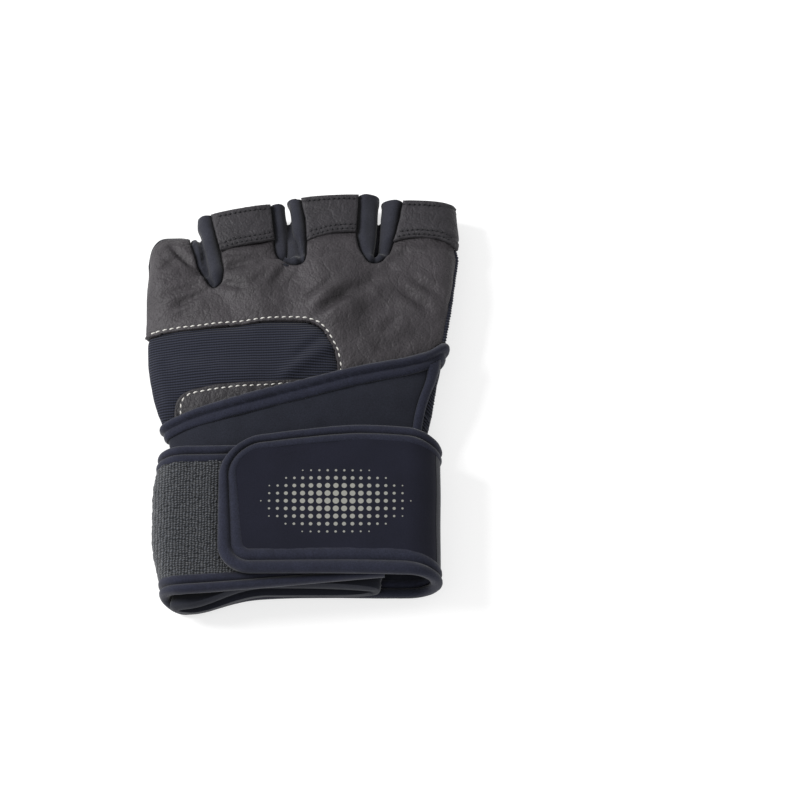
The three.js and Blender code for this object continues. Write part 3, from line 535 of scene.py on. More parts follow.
def side_of(points, tris, value, start_value, keys, first_new):
    """Triangles on the side of a field where it is below zero."""

    def at(i, j):
        return first_new + np.searchsorted(keys, np.minimum(i, j) * first_new + np.maximum(i, j))

    sign = np.sign(value).astype(int)[tris]
    below, above = (sign < 0).sum(1), (sign > 0).sum(1)
    flat = (below == 0) & (above == 0) & (start_value[tris].mean(1) < 0)
    kept = [tris[((above == 0) & (below > 0)) | flat]]

    def turned(chosen, wanted):
        some, first = tris[chosen], np.argmax(sign[chosen] == wanted, axis=1)
        return [some[np.arange(len(some)), (first + k) % 3] for k in range(3)]

    n, p, q = turned((below == 1) & (above == 2), -1)
    kept.append(np.stack([n, at(n, p), at(n, q)], axis=1))
    p, n, m = turned((below == 2) & (above == 1), 1)
    kept.append(np.stack([at(p, n), n, m], axis=1))
    kept.append(np.stack([at(p, n), m, at(p, m)], axis=1))
    n, u, v = turned((below == 1) & (above == 1), -1)
    u_zero = value[u] == 0
    kept.append(np.stack([n, u, at(n, v)], axis=1)[u_zero])
    kept.append(np.stack([n, at(n, u), v], axis=1)[~u_zero])
    return np.vstack(kept)


def split(sheet, field):
    """Points with a clean line where a field is zero, and the triangles below and above zero."""
    points, tris = sheet
    value = field(points)
    start_value = value.copy()
    a, b = edges_of(tris).T
    crossing = value[a] * value[b] < 0
    a, b = a[crossing], b[crossing]
    share = value[a] / (value[a] - value[b])
    meeting = mix(points[a], points[b], share[:, None])
    near = 0.3
    low, high = share < near, share > 1 - near
    moved = np.concatenate([a[low], b[high]])
    way = np.concatenate([share[low], 1 - share[high]])
    target = np.concatenate([meeting[low], meeting[high]])
    order = np.argsort(-way, kind="stable")
    points = points.copy()
    points[moved[order]] = target[order]
    value[moved] = 0
    crossing = value[a] * value[b] < 0
    a, b = a[crossing], b[crossing]
    share = value[a] / (value[a] - value[b])
    first_new = len(points)
    keys = a * first_new + b
    points = np.vstack([points, mix(points[a], points[b], share[:, None])])
    below = side_of(points, tris, value, start_value, keys, first_new)
    above = side_of(points, tris, -value, -start_value, keys, first_new)
    return points, below, above


def cut(sheet, field):
    """The part of a triangle sheet where a field of its points is below zero, with a clean edge."""
    points, below, _ = split(sheet, field)
    return compact(points, below)


def scored(sheet, field, levels):
    """The same sheet with rows of points where a field has the given values."""
    for level in levels:
        points, below, above = split(sheet, lambda at: field(at) - level)
        sheet = compact(points, np.vstack([below, above]))
    return sheet


def border_of(tris):
    """Directed edges that only one triangle has."""
    count = tris.max() + 1
    edges = np.vstack([tris[:, [0, 1]], tris[:, [1, 2]], tris[:, [2, 0]]])
    keys = edges[:, 0] * count + edges[:, 1]
    back = edges[:, 1] * count + edges[:, 0]
    return edges[~np.isin(keys, back)]


def border_distance(sheet):
    """Distance from each point of a sheet to its nearest border."""
    points, tris = sheet
    border = border_of(tris)
    ends = points[border][:, :, :3]
    samples = np.vstack([ends[:, 0], ends.mean(axis=1)])
    tree = KDTree(len(samples))
    for k, place in enumerate(samples):
        tree.insert(place, k)
    tree.balance()
    return np.array([tree.find(p)[2] for p in points[:, :3]])


def shell(sheet, outer, inner):
    """A closed wall over a sheet, between two distances along its outward directions."""
    points, tris = sheet
    count = len(points)
    base, out = points[:, :3], points[:, 3:6]
    skin = np.vstack([base + out * np.reshape(outer, (-1, 1)), base + out * np.reshape(inner, (-1, 1))])
    a, b = border_of(tris).T
    rim = np.vstack([np.stack([b, a, a + count], axis=1), np.stack([b, a + count, b + count], axis=1)])
    return skin, np.vstack([tris, tris[:, ::-1] + count, rim])


def rounded_edge(distance, radius):
    """How far a sheet's outer face falls near its border when its edge is round."""
    into = np.clip(1 - distance / radius, 0, 1)
    return radius * (np.sqrt(1 - into**2) - 1)


def settled(points):
    """What lies lowest is pressed flat on the floor."""
    soft = 0.8
    low = points[:, 2:] < soft
    pressed = soft * np.exp(np.minimum(points[:, 2:] - soft, 0) / soft)
    return np.hstack([points[:, :2], np.where(low, pressed, points[:, 2:])])


def make_piece(name, points, faces, material, replaced=None, crease=50):
    """An object in the frame from points in millimetres on the pattern."""
    name = "fine_" + name
    mesh = bpy.data.meshes.new(name)
    places = (settled(points) + SHIFT) * MM
    mesh.from_pydata(places.tolist(), [], [list(map(int, face)) for face in faces])
    mesh.update()
    mesh.shade_smooth()
    mesh.set_sharp_from_angle(angle=math.radians(crease))
    mesh.materials.append(material)
    obj = bpy.data.objects.new(name, mesh)
    bpy.context.scene.collection.objects.link(obj)
    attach(obj, "root")
    if replaced:
        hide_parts(replaced)
    return obj


# Materials


# How far the painted crevice shade reaches, in millimetres.
CREVICE_SHADE_REACH = 5.0


class Shader:
    """A node material that is built up step by step. Its coordinates are millimetres on the glove."""

    def __init__(self, name, roughness, specular=0.35, sheen=0.0, sheen_roughness=0.5):
        self.material = bpy.data.materials.new(name)
        self.material.use_nodes = True
        self.tree = self.material.node_tree
        self.principled = self.tree.nodes["Principled BSDF"]
        self.set("Roughness", roughness)
        self.set("Specular IOR Level", specular)
        self.set("Sheen Weight", sheen)
        self.set("Sheen Roughness", sheen_roughness)
        place = self.node("ShaderNodeTexCoord")
        self.place = self.stretched(place.outputs["Object"], (1 / MM, 1 / MM, 1 / MM))
        self.normal = None

    def set(self, socket, value):
        self.principled.inputs[socket].default_value = value

    def node(self, kind, **values):
        made = self.tree.nodes.new(kind)
        for key, value in values.items():
            setattr(made, key, value)
        return made

    def link(self, source, target):
        self.tree.links.new(source, target)

    def stretched(self, source, scale, turn=(0, 0, 0)):
        mapping = self.node("ShaderNodeMapping")
        mapping.inputs["Scale"].default_value = scale
        mapping.inputs["Rotation"].default_value = turn
        self.link(source, mapping.inputs["Vector"])
        return mapping.outputs["Vector"]

    def noise(self, size, detail=2.0, source=None, roughness=0.5):
        made = self.node("ShaderNodeTexNoise")
        made.inputs["Scale"].default_value = 1 / size
        made.inputs["Detail"].default_value = detail
        made.inputs["Roughness"].default_value = roughness
        self.link(source or self.place, made.inputs["Vector"])
        return made.outputs["Fac"]

    def warped(self, size, amount):
        """The place, moved about by soft noise."""
        made = self.node("ShaderNodeTexNoise")
        made.inputs["Scale"].default_value = 1 / size
        self.link(self.place, made.inputs["Vector"])
        moved = self.node("ShaderNodeVectorMath", operation="MULTIPLY_ADD")
        self.link(made.outputs["Color"], moved.inputs[0])
        moved.inputs[1].default_value = (amount, amount, amount)
        self.link(self.place, moved.inputs[2])
        return moved.outputs["Vector"]

    def cells(self, size, source=None, feature="F1"):
        made = self.node("ShaderNodeTexVoronoi", feature=feature)
        made.inputs["Scale"].default_value = 1 / size
        self.link(source or self.place, made.inputs["Vector"])
        return made.outputs["Distance"]

    def waves(self, pitch, direction, source=None, distortion=0.0, detail_scale=1.0):
        made = self.node("ShaderNodeTexWave", wave_type="BANDS", bands_direction=direction)
        made.inputs["Scale"].default_value = 1 / pitch * 2 * math.pi / 20
        made.inputs["Distortion"].default_value = distortion
        made.inputs["Detail"].default_value = 1.0
        made.inputs["Detail Scale"].default_value = detail_scale
        self.link(source or self.place, made.inputs["Vector"])
        return made.outputs["Fac"]

    def math(self, operation, a, b):
        made = self.node("ShaderNodeMath", operation=operation)
        for socket, value in zip(made.inputs, (a, b)):
            if isinstance(value, (int, float)):
                socket.default_value = value
            else:
                self.link(value, socket)
        return made.outputs["Value"]

    def ramp(self, source, stops):
        made = self.node("ShaderNodeValToRGB")
        elements = made.color_ramp.elements
        while len(elements) < len(stops):
            elements.new(0.5)
        for element, (position, color) in zip(elements, stops):
            element.position = position
            element.color = (*color, 1)
        self.link(source, made.inputs["Fac"])
        return made.outputs["Color"]

    def blend(self, share, a, b, mode="MIX"):
        made = self.node("ShaderNodeMix", data_type="RGBA", blend_type=mode)
        if isinstance(share, (int, float)):
            made.inputs["Factor"].default_value = share
        else:
            self.link(share, made.inputs["Factor"])
        for socket, value in ((made.inputs[6], a), (made.inputs[7], b)):
            if isinstance(value, tuple):
                socket.default_value = (*value, 1)
            else:
                self.link(value, socket)
        return made.outputs[2]

    def color(self, source):
        """The colour, with painted shade: darker where an ambient occlusion node finds the surface in a crevice or
        close under a neighbouring piece.
        """
        shade = self.node("ShaderNodeAmbientOcclusion", samples=6)
        shade.inputs["Distance"].default_value = CREVICE_SHADE_REACH * MM
        # Painted shade: the ambient occlusion darkens the base colour in crevices and between pieces.
        painted_crevice_shade = self.ramp(shade.outputs["AO"], [(0.3, (0.3, 0.3, 0.3)), (0.9, (1, 1, 1))])
        self.link(self.blend(1.0, source, painted_crevice_shade, "MULTIPLY"), self.principled.inputs["Base Color"])

    def axis(self, name, offset=0.0):
        """One coordinate in millimetres on the pattern, counted from an offset."""
        made = self.node("ShaderNodeSeparateXYZ")
        self.link(self.place, made.inputs["Vector"])
        return self.math("SUBTRACT", made.outputs[name], offset)

    def bump(self, height, depth, strength=1.0):
        made = self.node("ShaderNodeBump")
        made.inputs["Strength"].default_value = strength
        made.inputs["Distance"].default_value = depth * MM
        self.link(height, made.inputs["Height"])
        if self.normal is not None:
            self.link(self.normal, made.inputs["Normal"])
        self.normal = made.outputs["Normal"]
        self.link(self.normal, self.principled.inputs["Normal"])


def srgb(red, green, blue):
    """A linear colour from a picture's 0 to 255 values."""
    values = [v / 255 for v in (red, green, blue)]
    return tuple(v / 12.92 if v <= 0.04045 else ((v + 0.055) / 1.055) ** 2.4 for v in values)


def toned(color, factor):
    return tuple(min(1, v * factor) for v in color)


def leather_material(name, base):
    shader = Shader(name, 0.6, specular=0.3)
    patches = shader.noise(14, 4)
    tone = shader.ramp(patches, [(0.3, toned(base, 0.78)), (0.7, toned(base, 1.2))])
    grain = shader.cells(0.9)
    specks = shader.ramp(grain, [(0.0, (0.7, 0.7, 0.7)), (0.5, (1.08, 1.06, 1.06))])
    shader.color(shader.blend(0.8, tone, specks, "MULTIPLY"))
    shader.bump(shader.noise(3.2, 5, roughness=0.6), 0.65, 0.5)
    for size, depth in ((5.5, 0.5), (2.4, 0.3)):
        lines = shader.cells(size, source=shader.warped(size * 1.3, size * 0.9), feature="DISTANCE_TO_EDGE")
        shader.bump(shader.math("MINIMUM", lines, 0.14), depth * 3, 0.5)
    shader.bump(grain, 0.22, 0.6)
    shader.bump(shader.noise(0.35, 2), 0.1, 0.3)
    return shader.material


def ribbed_material():
    shader = Shader("ribbed_knit", 0.9, specular=0.1, sheen=0.12)
    base = srgb(34, 36, 47)
    ribs = shader.waves(1.02, "Y", distortion=1.1, detail_scale=0.5)
    tone = shader.ramp(ribs, [(0.1, toned(base, 0.3)), (0.75, toned(base, 1.45))])
    loops = shader.waves(0.62, "X", distortion=1.2)
    shade = shader.ramp(loops, [(0, (0.6, 0.6, 0.6)), (1, (1.2, 1.2, 1.2))])
    shader.color(shader.blend(0.35, tone, shade, "MULTIPLY"))
    shader.bump(ribs, 0.35, 0.7)
    shader.bump(loops, 0.12, 0.5)
    return shader.material


def cloth_material(name, base, fine, coarse, contrast, specular=0.12, sheen=0.15, depth=0.12):
    """Close woven cloth: fine threads, and softer patches of light and dark."""
    shader = Shader(name, 0.85, specular=specular, sheen=sheen)
    weave = shader.noise(fine, 3)
    patches = shader.noise(coarse, 3)
    tone = shader.ramp(weave, [(0.3, toned(base, 1 - contrast)), (0.7, toned(base, 1 + contrast))])
    shade = shader.ramp(patches, [(0.3, (0.85,) * 3), (0.7, (1.12,) * 3)])
    tone = shader.blend(0.7, tone, shade, "MULTIPLY")
    shader.bump(weave, depth, 0.5)
    shader.bump(patches, depth * 5, 0.25)
    return shader, tone


def suede_material():
    shader = Shader("suede", 0.95, specular=0.08, sheen=0.25)
    base = srgb(36, 36, 41)
    nap = shader.noise(5, 5, roughness=0.65)
    shader.color(shader.ramp(nap, [(0.3, toned(base, 0.7)), (0.7, toned(base, 1.35))]))
    shader.bump(shader.noise(0.4, 3), 0.15, 0.6)
    shader.bump(nap, 0.4, 0.3)
    return shader.material


def plain_cloth(*values, **options):
    shader, tone = cloth_material(*values, **options)
    shader.color(tone)
    return shader.material


# The flap's print: dots in rows, smaller towards the rim of an oval.
PRINT_CENTRE = (12.4, -51.6)
PRINT_REACH = (27.0, 13.5)
DOT_PITCH = 3.0
DOT_RADIUS = 1.2


def flap_material():
    shader, tone = cloth_material("smooth_flap", srgb(23, 24, 35), 0.4, 12, 0.15, specular=0.1, sheen=0.06, depth=0.06)
    place = [shader.axis(name, PRINT_CENTRE[k] + SHIFT[k]) for k, name in enumerate("XY")]
    off, rim = [], []
    for value, reach in zip(place, PRINT_REACH):
        cell = shader.math("MULTIPLY", shader.math("ROUND", shader.math("DIVIDE", value, DOT_PITCH), 0), DOT_PITCH)
        off.append(shader.math("SUBTRACT", value, cell))
        rim.append(shader.math("DIVIDE", cell, reach))
    away = shader.math("SQRT", shader.math("ADD", *(shader.math("MULTIPLY", v, v) for v in off)), 0)
    reach = shader.math("ADD", *(shader.math("MULTIPLY", v, v) for v in rim))
    radius = shader.math("MULTIPLY", shader.math("SUBTRACT", 1.0, shader.math("MULTIPLY", reach, 0.72)), DOT_RADIUS)
    radius = shader.math("SUBTRACT", radius, shader.math("MULTIPLY", shader.math("GREATER_THAN", reach, 1.0), 9.0))
    dots = shader.math("MULTIPLY", shader.math("SUBTRACT", radius, away), 6.0)
    top = shader.math("GREATER_THAN", shader.axis("Z"), FLAP_FACE)
    dots = shader.math("MINIMUM", shader.math("MAXIMUM", shader.math("MULTIPLY", dots, top), 0.0), 1.0)
    shader.color(shader.blend(dots, tone, srgb(134, 134, 128)))
    return shader.material


def loop_material():
    shader = Shader("loop_pile", 0.95, specular=0.1, sheen=0.25)
    base = srgb(47, 49, 53)
    columns = shader.waves(1.12, "X", distortion=2.8, detail_scale=1.3)
    loops = shader.waves(0.95, "Y", distortion=7.5, detail_scale=1.5)
    pile = shader.math("MULTIPLY", shader.math("ADD", columns, 0.25), shader.math("ADD", loops, 0.2))
    tone = shader.ramp(pile, [(0.08, toned(base, 0.22)), (0.9, toned(base, 2.1))])
    shader.color(tone)
    shader.bump(pile, 0.5, 0.8)
    return shader.material


def thread_material(name, color):
    shader = Shader(name, 0.7, specular=0.25)
    strands = shader.waves(0.25, "DIAGONAL")
    shader.color(shader.ramp(strands, [(0.2, toned(color, 0.75)), (0.8, color)]))
    shader.bump(strands, 0.05, 0.5)
    return shader.material


LEATHER_LOOK = leather_material("leather", srgb(52, 49.5, 52.5))
HEM_LOOK = leather_material("hem_leather", srgb(44, 42.5, 46))
PATCH_LOOK = leather_material("patch_leather", srgb(38, 36.5, 40))
KNIT_LOOK = ribbed_material()
STRETCH_LOOK = plain_cloth("stretch_cloth", srgb(37, 38, 46), 0.5, 7, 0.22)
SUEDE_LOOK = suede_material()
BINDING_LOOK = plain_cloth("binding_tape", srgb(31, 33, 46), 0.55, 4, 0.28, depth=0.14)
PADDED_LOOK = plain_cloth("padded_cloth", srgb(29, 31, 40), 0.45, 9, 0.22)
FLAP_LOOK = flap_material()
LOOP_LOOK = loop_material()
WHITE_THREAD = thread_material("white_thread", srgb(214, 212, 206))
DARK_THREAD = thread_material("dark_thread", srgb(34, 34, 38))


# The hand


def base_form():
    """A fine triangle sheet round the whole hand: rows of place and outward direction."""
    rings = tube(HAND_ROWS, HAND_START, HAND_LENGTH, 80, 110, folded=True)
    corners = np.array([(hand_x(x), hand_y(y)) for x, y in CROTCHES])
    front_x = [-HAND_WIDTH, *corners[:, 0], HAND_WIDTH]
    front_y = [hand_y(0.86), *corners[:, 1], hand_y(1)]
    rings[..., 1] = np.minimum(rings[..., 1], np.interp(rings[..., 0], front_x, front_y))
    beyond = 3.0
    lofts = [loft(rings)] + [loft(stub_rings(stub, beyond)) for stub in STUBS]
    points, tris = united(lofts, VOXEL)
    points = relaxed(points, tris, 7)
    out = relaxed(normals_of(points, tris), tris, 5)
    out /= np.linalg.norm(out, axis=1)[:, None]
    return np.hstack([points, out]), tris


def mouth_field(points):
    """Below zero behind the mouths of the stubs."""
    place = points[:, :3]
    value = np.full(len(place), -HAND_LENGTH)
    nearest = np.full(len(place), np.inf)
    for stub in STUBS:
        last = CURLED.rows[-1, 0] if stub.curled else 1
        centre, half, _, across, ahead, up = stub_station(stub, last)
        facing = ahead if stub.curled else np.array([-across[1], across[0], 0])
        along = np.clip((place[:, 1] - STUB_ROOT_Y) / (stub.reach * STUB_REACH - STUB_ROOT_Y), 0, 1)
        middle = mix(hand_x(stub.root), hand_x(stub.tip), along)
        off = np.abs(place[:, 0] - middle) / half
        mine = (off < nearest) & (place[:, 1] > hand_y(0.9))
        value = np.where(mine, (place - centre) @ facing, value)
        nearest = np.minimum(nearest, off)
    return value


def split_field(points):
    """Below zero under the seam between back and palm."""
    along = (points[:, 1] - HAND_START) / HAND_LENGTH
    key, left, right = SPLIT_ROWS.rows.T
    left, right = np.interp(along, key, left), np.interp(along, key, right)
    height = hand_z((left + right) / 2) + hand_z(right - left) / HAND_WIDTH * points[:, 0]
    return points[:, 2] - height


KNIT_LINE = curve_through(KNIT_EDGE)
KNIT_REGION = np.vstack([KNIT_LINE, [(-90, -60)]])
STRETCH_REGIONS = {name: curve_through(outline) for name, outline in OUTLINES.items()}


def knit_field(points):
    on_back = np.maximum(region_distance(points[:, :2], KNIT_REGION), -split_field(points))
    palm_edge = points[:, 0] + HALF_WIDTH - KNIT_PALM_STRIP
    on_palm = np.maximum(palm_edge, points[:, 1] - KNIT_LINE[6, 1])
    return np.minimum(on_back, on_palm)


def under_cuff_field(points):
    return cuff_edge(points[:, 0]) - CUFF_OVERLAP - points[:, 1]


def opposite(field):
    return lambda points: -field(points)


def stretch_field(name):
    return lambda points: region_distance(points[:, :2], STRETCH_REGIONS[name])


# Creases in the leather back: a line from one place to another, its depth and its half width.
CREASES = [
    ((-50, 57.5), (-41.5, 48.5), 1.6, 1.4),
    ((-54, 47), (-46, 52), 0.6, 1.6),
    ((-49, 30.5), (-34, 37.5), 0.8, 1.4),
    ((-52, 36), (-38, 40), 0.6, 1.3),
    ((-47, 26), (-40, 31), 0.5, 1.3),
    ((-31, 40), (-22, 37), 0.9, 1.6),
    ((-30, 46.5), (-20, 48), 1.1, 1.5),
    ((-30, 51), (-21, 52), 0.8, 1.2),
    ((-24, 44), (-14, 49), 0.6, 1.2),
    ((-6, 46.5), (-12, 38), 0.8, 1.6),
    ((-12, 43), (-20, 38), 0.5, 1.4),
    ((2, 50), (10, 51), 0.6, 1.3),
    ((5, 26), (18, 36), 1.7, 2.0),
    ((18, 36), (27, 41), 0.8, 1.8),
    ((1, 32), (10, 39), 0.6, 1.2),
    ((22, 41), (36, 47), 0.7, 2.0),
    ((30, 48), (39, 54), 0.9, 1.6),
    ((36, 37), (47, 28), 1.0, 2.0),
    ((40, 41), (51, 35), 0.6, 1.6),
    ((26, 12), (40, 15), 0.8, 3.0),
    ((28, 18), (36, 26), 0.5, 2.0),
]
# Soft swellings: a line, its height and its half width.
SWELLS = [
    ((-29, 50), (-14, 54.5), 0.9, 2.2),
    ((2, 55), (18, 58), 0.8, 2.2),
    ((36, 54), (52, 53), 0.7, 2.2),
    ((7, 32), (17, 41), 0.7, 2.6),
    ((12, 25), (26, 34), 1.3, 3.4),
]


def line_swell(xy, table):
    """Height of soft folds that run along straight lines."""
    height = np.zeros(len(xy))
    for start, end, rise, width in table:
        away = line_distance(xy, np.array([start, end], float)) / width
        height += rise * np.exp(-(away**2))
    return height


def wrinkles(points):
    """Height of the leather's wrinkles over the smooth form."""
    place, xy = points[:, :3], points[:, :2]
    height = 0.5 * noise(place, 11, 1) + 0.3 * noise(place, 4.5, 2) + 0.09 * noise(place, 1.8, 3)
    height += line_swell(xy, SWELLS)
    for start, end, depth, width in CREASES:
        line = np.array([start, end], float)
        run = line[1] - line[0]
        share = (xy - line[0]) @ run / (run @ run)
        taper = np.clip(np.minimum(share, 1 - share) * 3 + 0.35, 0, 1)
        away = line_distance(xy, line) / width
        height -= depth * taper * (np.exp(-(away**2)) - 0.35 * np.exp(-((away - 1.9) ** 2)))
    return height


EDGE_ROWS = (0.3, 0.65, 1.1, 1.8)
STITCH_INSET = 1.3
KNIT_DROP = 0.9


def line_groove(distance, at, depth, width=0.45):
    """A sewn line draws a surface in along it."""
    return -depth * np.exp(-(((distance - at) / width) ** 2))


# Where the two rolls of each stretch strip meet in front of the slit.
ROLL_GROOVES = {
    "pinky_ring": [(-40, 64), (-38.6, 58.7), (-35.8, 44.1), (-34, 40)],
    "ring_middle": [(-6.5, 75), (-5, 62), (-2.9, 57), (-1.4, 48)],
    "middle_index": [(28, 75), (27.2, 60), (26.9, 57), (26, 49)],
}
ROLL_FOOT = -1.6
ROLL_HEIGHT = 1.2


def roll_height(deep, groove):
    """The strip rises out of its seams as a round roll, with a groove where two rolls meet."""
    rise = np.sin(np.pi / 2 * np.clip(deep / 2.8, 0, 1)) ** 0.7
    return ROLL_FOOT + (ROLL_HEIGHT - ROLL_FOOT) * rise - 1.9 * np.exp(-((groove / 1.1) ** 2))


def build_stretch_strips(form):
    body = form
    for name in STRETCH_REGIONS:
        field = stretch_field(name)
        strip = scored(cut(form, field), field, [-row for row in EDGE_ROWS])
        body = cut(body, opposite(field))
        deep = -field(strip[0])
        groove = line_distance(strip[0][:, :2], curve_through(ROLL_GROOVES[name]))
        outer = roll_height(deep, groove) + 0.2 * noise(strip[0][:, :3], 5, 4)
        points, faces = shell(strip, outer, -LEATHER - 1.2)
        make_piece("fourchette_" + name, points, faces, STRETCH_LOOK, "fourchette_" + name)
    return body


def build_back(rest):
    """The leather back, rounded where it is turned in and puckered along its white stitches."""
    upper = cut(rest, opposite(split_field))
    to_knit = lambda points: region_distance(points[:, :2], KNIT_REGION)
    upper = scored(upper, to_knit, (*EDGE_ROWS, STITCH_INSET))
    for name in STRETCH_REGIONS:
        upper = scored(upper, stretch_field(name), EDGE_ROWS[:3])
    place = upper[0][:, :3]
    knit = to_knit(upper[0])
    stretch = np.min([stretch_field(name)(upper[0]) for name in STRETCH_REGIONS], axis=0)
    side = border_distance(upper)
    surface = wrinkles(upper[0])
    surface += line_groove(knit, STITCH_INSET, 0.3) + 0.25 * noise(place, 2.6, 11) * np.exp(-(knit / 3) ** 2)
    outer = surface + rounded_edge(knit, 0.55) + 1.1 * rounded_edge(stretch, 1.3)
    outer += rounded_edge(np.where(np.minimum(knit, stretch) > 1.5, side, 9), 1.1)
    points, faces = shell(upper, outer, np.minimum(surface, 0) - LEATHER)
    make_piece("back_leather", points, faces, LEATHER_LOOK, "back_leather")
    return BVHTree.FromPolygons(points.tolist(), faces.tolist())


# Soft folds in the knitted insert: a line, the height and the half width.
KNIT_FOLDS = [
    ((12, 14), (-6, 2), 1.1, 2.6),
    ((6, 16), (-2, 9), -0.5, 2.0),
    ((-54, 10), (-50, -6), 0.5, 2.5),
    ((-20, 2), (-45, 6), 0.4, 4.0),
]


def build_knit(body):
    knit = cut(body, knit_field)
    place = knit[0][:, :3]
    soft = 0.35 * noise(place, 16, 5) + 0.12 * noise(place, 5, 12) - KNIT_DROP
    soft += line_swell(place[:, :2], KNIT_FOLDS)
    soft -= 0.5 * np.exp(-((border_distance(knit) / 1.5) ** 2))
    points, faces = shell(knit, soft, soft - 1.2)
    make_piece("knit_panel", points, faces, KNIT_LOOK, "knit_panel")


def thumb_frame(points):
    """Along, across and height of points in the thumb's own lean."""
    root = np.array([hand_x(THUMB_ROOT[0]), hand_y(THUMB_ROOT[1])])
    ahead = np.array([-math.sin(THUMB_LEAN), math.cos(THUMB_LEAN)])
    away = points[:, :2] - root
    return away @ ahead, away @ np.array([ahead[1], -ahead[0]]), points[:, 2]


def thumb_hole_field(points):
    """Below zero inside the thumb's tube, where it leaves the palm."""
    along, across, height = thumb_frame(points)
    row = THUMB_STATIONS.at(np.clip(along / THUMB_LENGTH, -0.2, 1))
    side = np.abs(across) / (THUMB_WIDTH * row.width / 2 - 2)
    rise = np.abs(height - THUMB_HEIGHT * (0.5 + row.rise)) / (THUMB_HEIGHT * row.height / 2 - 1.2)
    share = along / THUMB_LENGTH
    return 4 * np.max([side - 1, rise - 1, -0.25 - share, share - 0.12], axis=0)


def build_palm(rest):
    under = cut(cut(rest, split_field), opposite(thumb_hole_field))
    deep = border_distance(under)
    place = under[0][:, :3]
    surface = 0.3 * noise(place, 9, 6) + 0.15 * noise(place, 3.5, 13)
    clear = (place[:, 2] - 0.15) / np.maximum(-under[0][:, 5], 0.2)
    outer = np.minimum(surface, clear) + rounded_edge(deep, 0.9)
    points, faces = shell(under, outer, np.minimum(outer, 0) - LEATHER)
    make_piece("palm_panel", points, faces, SUEDE_LOOK, "palm_panel")


# Leather hems on the backs of the stubs: each is an outline whose lower edge shows as a fold.
HEM_OUTLINES = {
    "ring_hem": [(-31.1, 53.4), (-25.5, 55.2), (-20, 56.4), (-15.5, 57.4), (-11.3, 58.9), (-13, 74), (-16, 90),
                 (-40, 90), (-34.8, 69), (-32.9, 60.4)],
    "middle_hem": [(0.9, 57.6), (5.9, 59.4), (11.5, 60.9), (19.2, 61.5), (20, 77.8), (20.4, 90),
                   (-3, 90), (-1.3, 75.8), (0.3, 67.6)],
    "index_hem": [(32.8, 57.4), (36, 58.4), (40, 59), (45, 59), (50.3, 58.4), (54, 57), (60, 53),
                  (66, 60), (66, 90), (38, 90), (36.6, 75), (35.4, 67.6), (34, 61)],
}
HEM_FOLD_POINTS = {"ring_hem": 5, "middle_hem": 4, "index_hem": 6}
HEM_RISE = 1.5


def stub_mouth_distance(name, place):
    """How far places lie behind the mouth of the stub that a hem is on."""
    stub = next(stub for stub in STUBS if name.startswith(stub.name))
    centre, _, _, across, _, _ = stub_station(stub, 1)
    return -(place - centre) @ np.array([-across[1], across[0], 0])


def hem_fold(name):
    return curve_through(HEM_OUTLINES[name][: HEM_FOLD_POINTS[name]])


def build_hems(form):
    trees = {}
    for name, outline in HEM_OUTLINES.items():
        outline = np.array(outline, float)
        field = lambda points: region_distance(points[:, :2], outline)
        hem = scored(cut(cut(form, field), opposite(split_field)), field, [-row for row in EDGE_ROWS])
        place = hem[0][:, :3]
        deep = -field(hem[0])
        mouth = stub_mouth_distance(name, place)
        fold = line_distance(place[:, :2], hem_fold(name))
        outer = HEM_RISE + 0.35 * noise(place, 7, 14) + 0.2 * noise(place, 2.2, 15)
        outer += rounded_edge(deep, 1.0) + rounded_edge(mouth, 1.4) * 1.2
        for distance, at in ((fold, 1.3), (fold, 3.2), (mouth, 2.2)):
            outer += line_groove(distance, at, 0.45)
        points, faces = shell(hem, outer, 0.35)
        make_piece(name, points, faces, HEM_LOOK, name)
        trees[name] = BVHTree.FromPolygons(points.tolist(), faces.tolist())
    return trees


# The small leather patch beside the cuff: its outline, and its row of white stitches.
PATCH_OUTLINE = [
    (-46.3, -18), (-47, -12.5), (-46.9, -9.3), (-45.8, -6), (-42.8, -3.6), (-38.5, -2.6), (-31.1, -1.6),
    (-20, -1.3), (-8.9, -1), (2, -0.4), (14, 0.5), (20, 0.6),
]
PATCH_THREAD = [
    (-43.9, -15.5), (-44.7, -11.8), (-44.4, -7.6), (-42.3, -5.2), (-38.5, -4.3), (-27.4, -3.3),
    (-16.3, -3), (-7.8, -2.6), (0, -2.2),
]


def build_patch(form):
    closed = np.vstack([curve_through(PATCH_OUTLINE), [(20, -30), (-45, -30)]])
    field = lambda points: region_distance(points[:, :2], closed)
    patch = scored(cut(cut(form, field), opposite(split_field)), field, [-row for row in EDGE_ROWS])
    place = patch[0][:, :3]
    deep = -field(patch[0])
    base = 0.35 * noise(place, 16, 5) - KNIT_DROP + line_swell(place[:, :2], KNIT_FOLDS)
    outer = base + 1.7 + rounded_edge(deep, 0.8) + line_groove(deep, 1.6, 0.35)
    outer += 0.3 * noise(place, 5, 16) + 0.2 * noise(place, 2.4, 17)
    points, faces = shell(patch, outer, base + 0.25)
    make_piece("leather_patch", points, faces, PATCH_LOOK, "leather_patch")
    return BVHTree.FromPolygons(points.tolist(), faces.tolist())


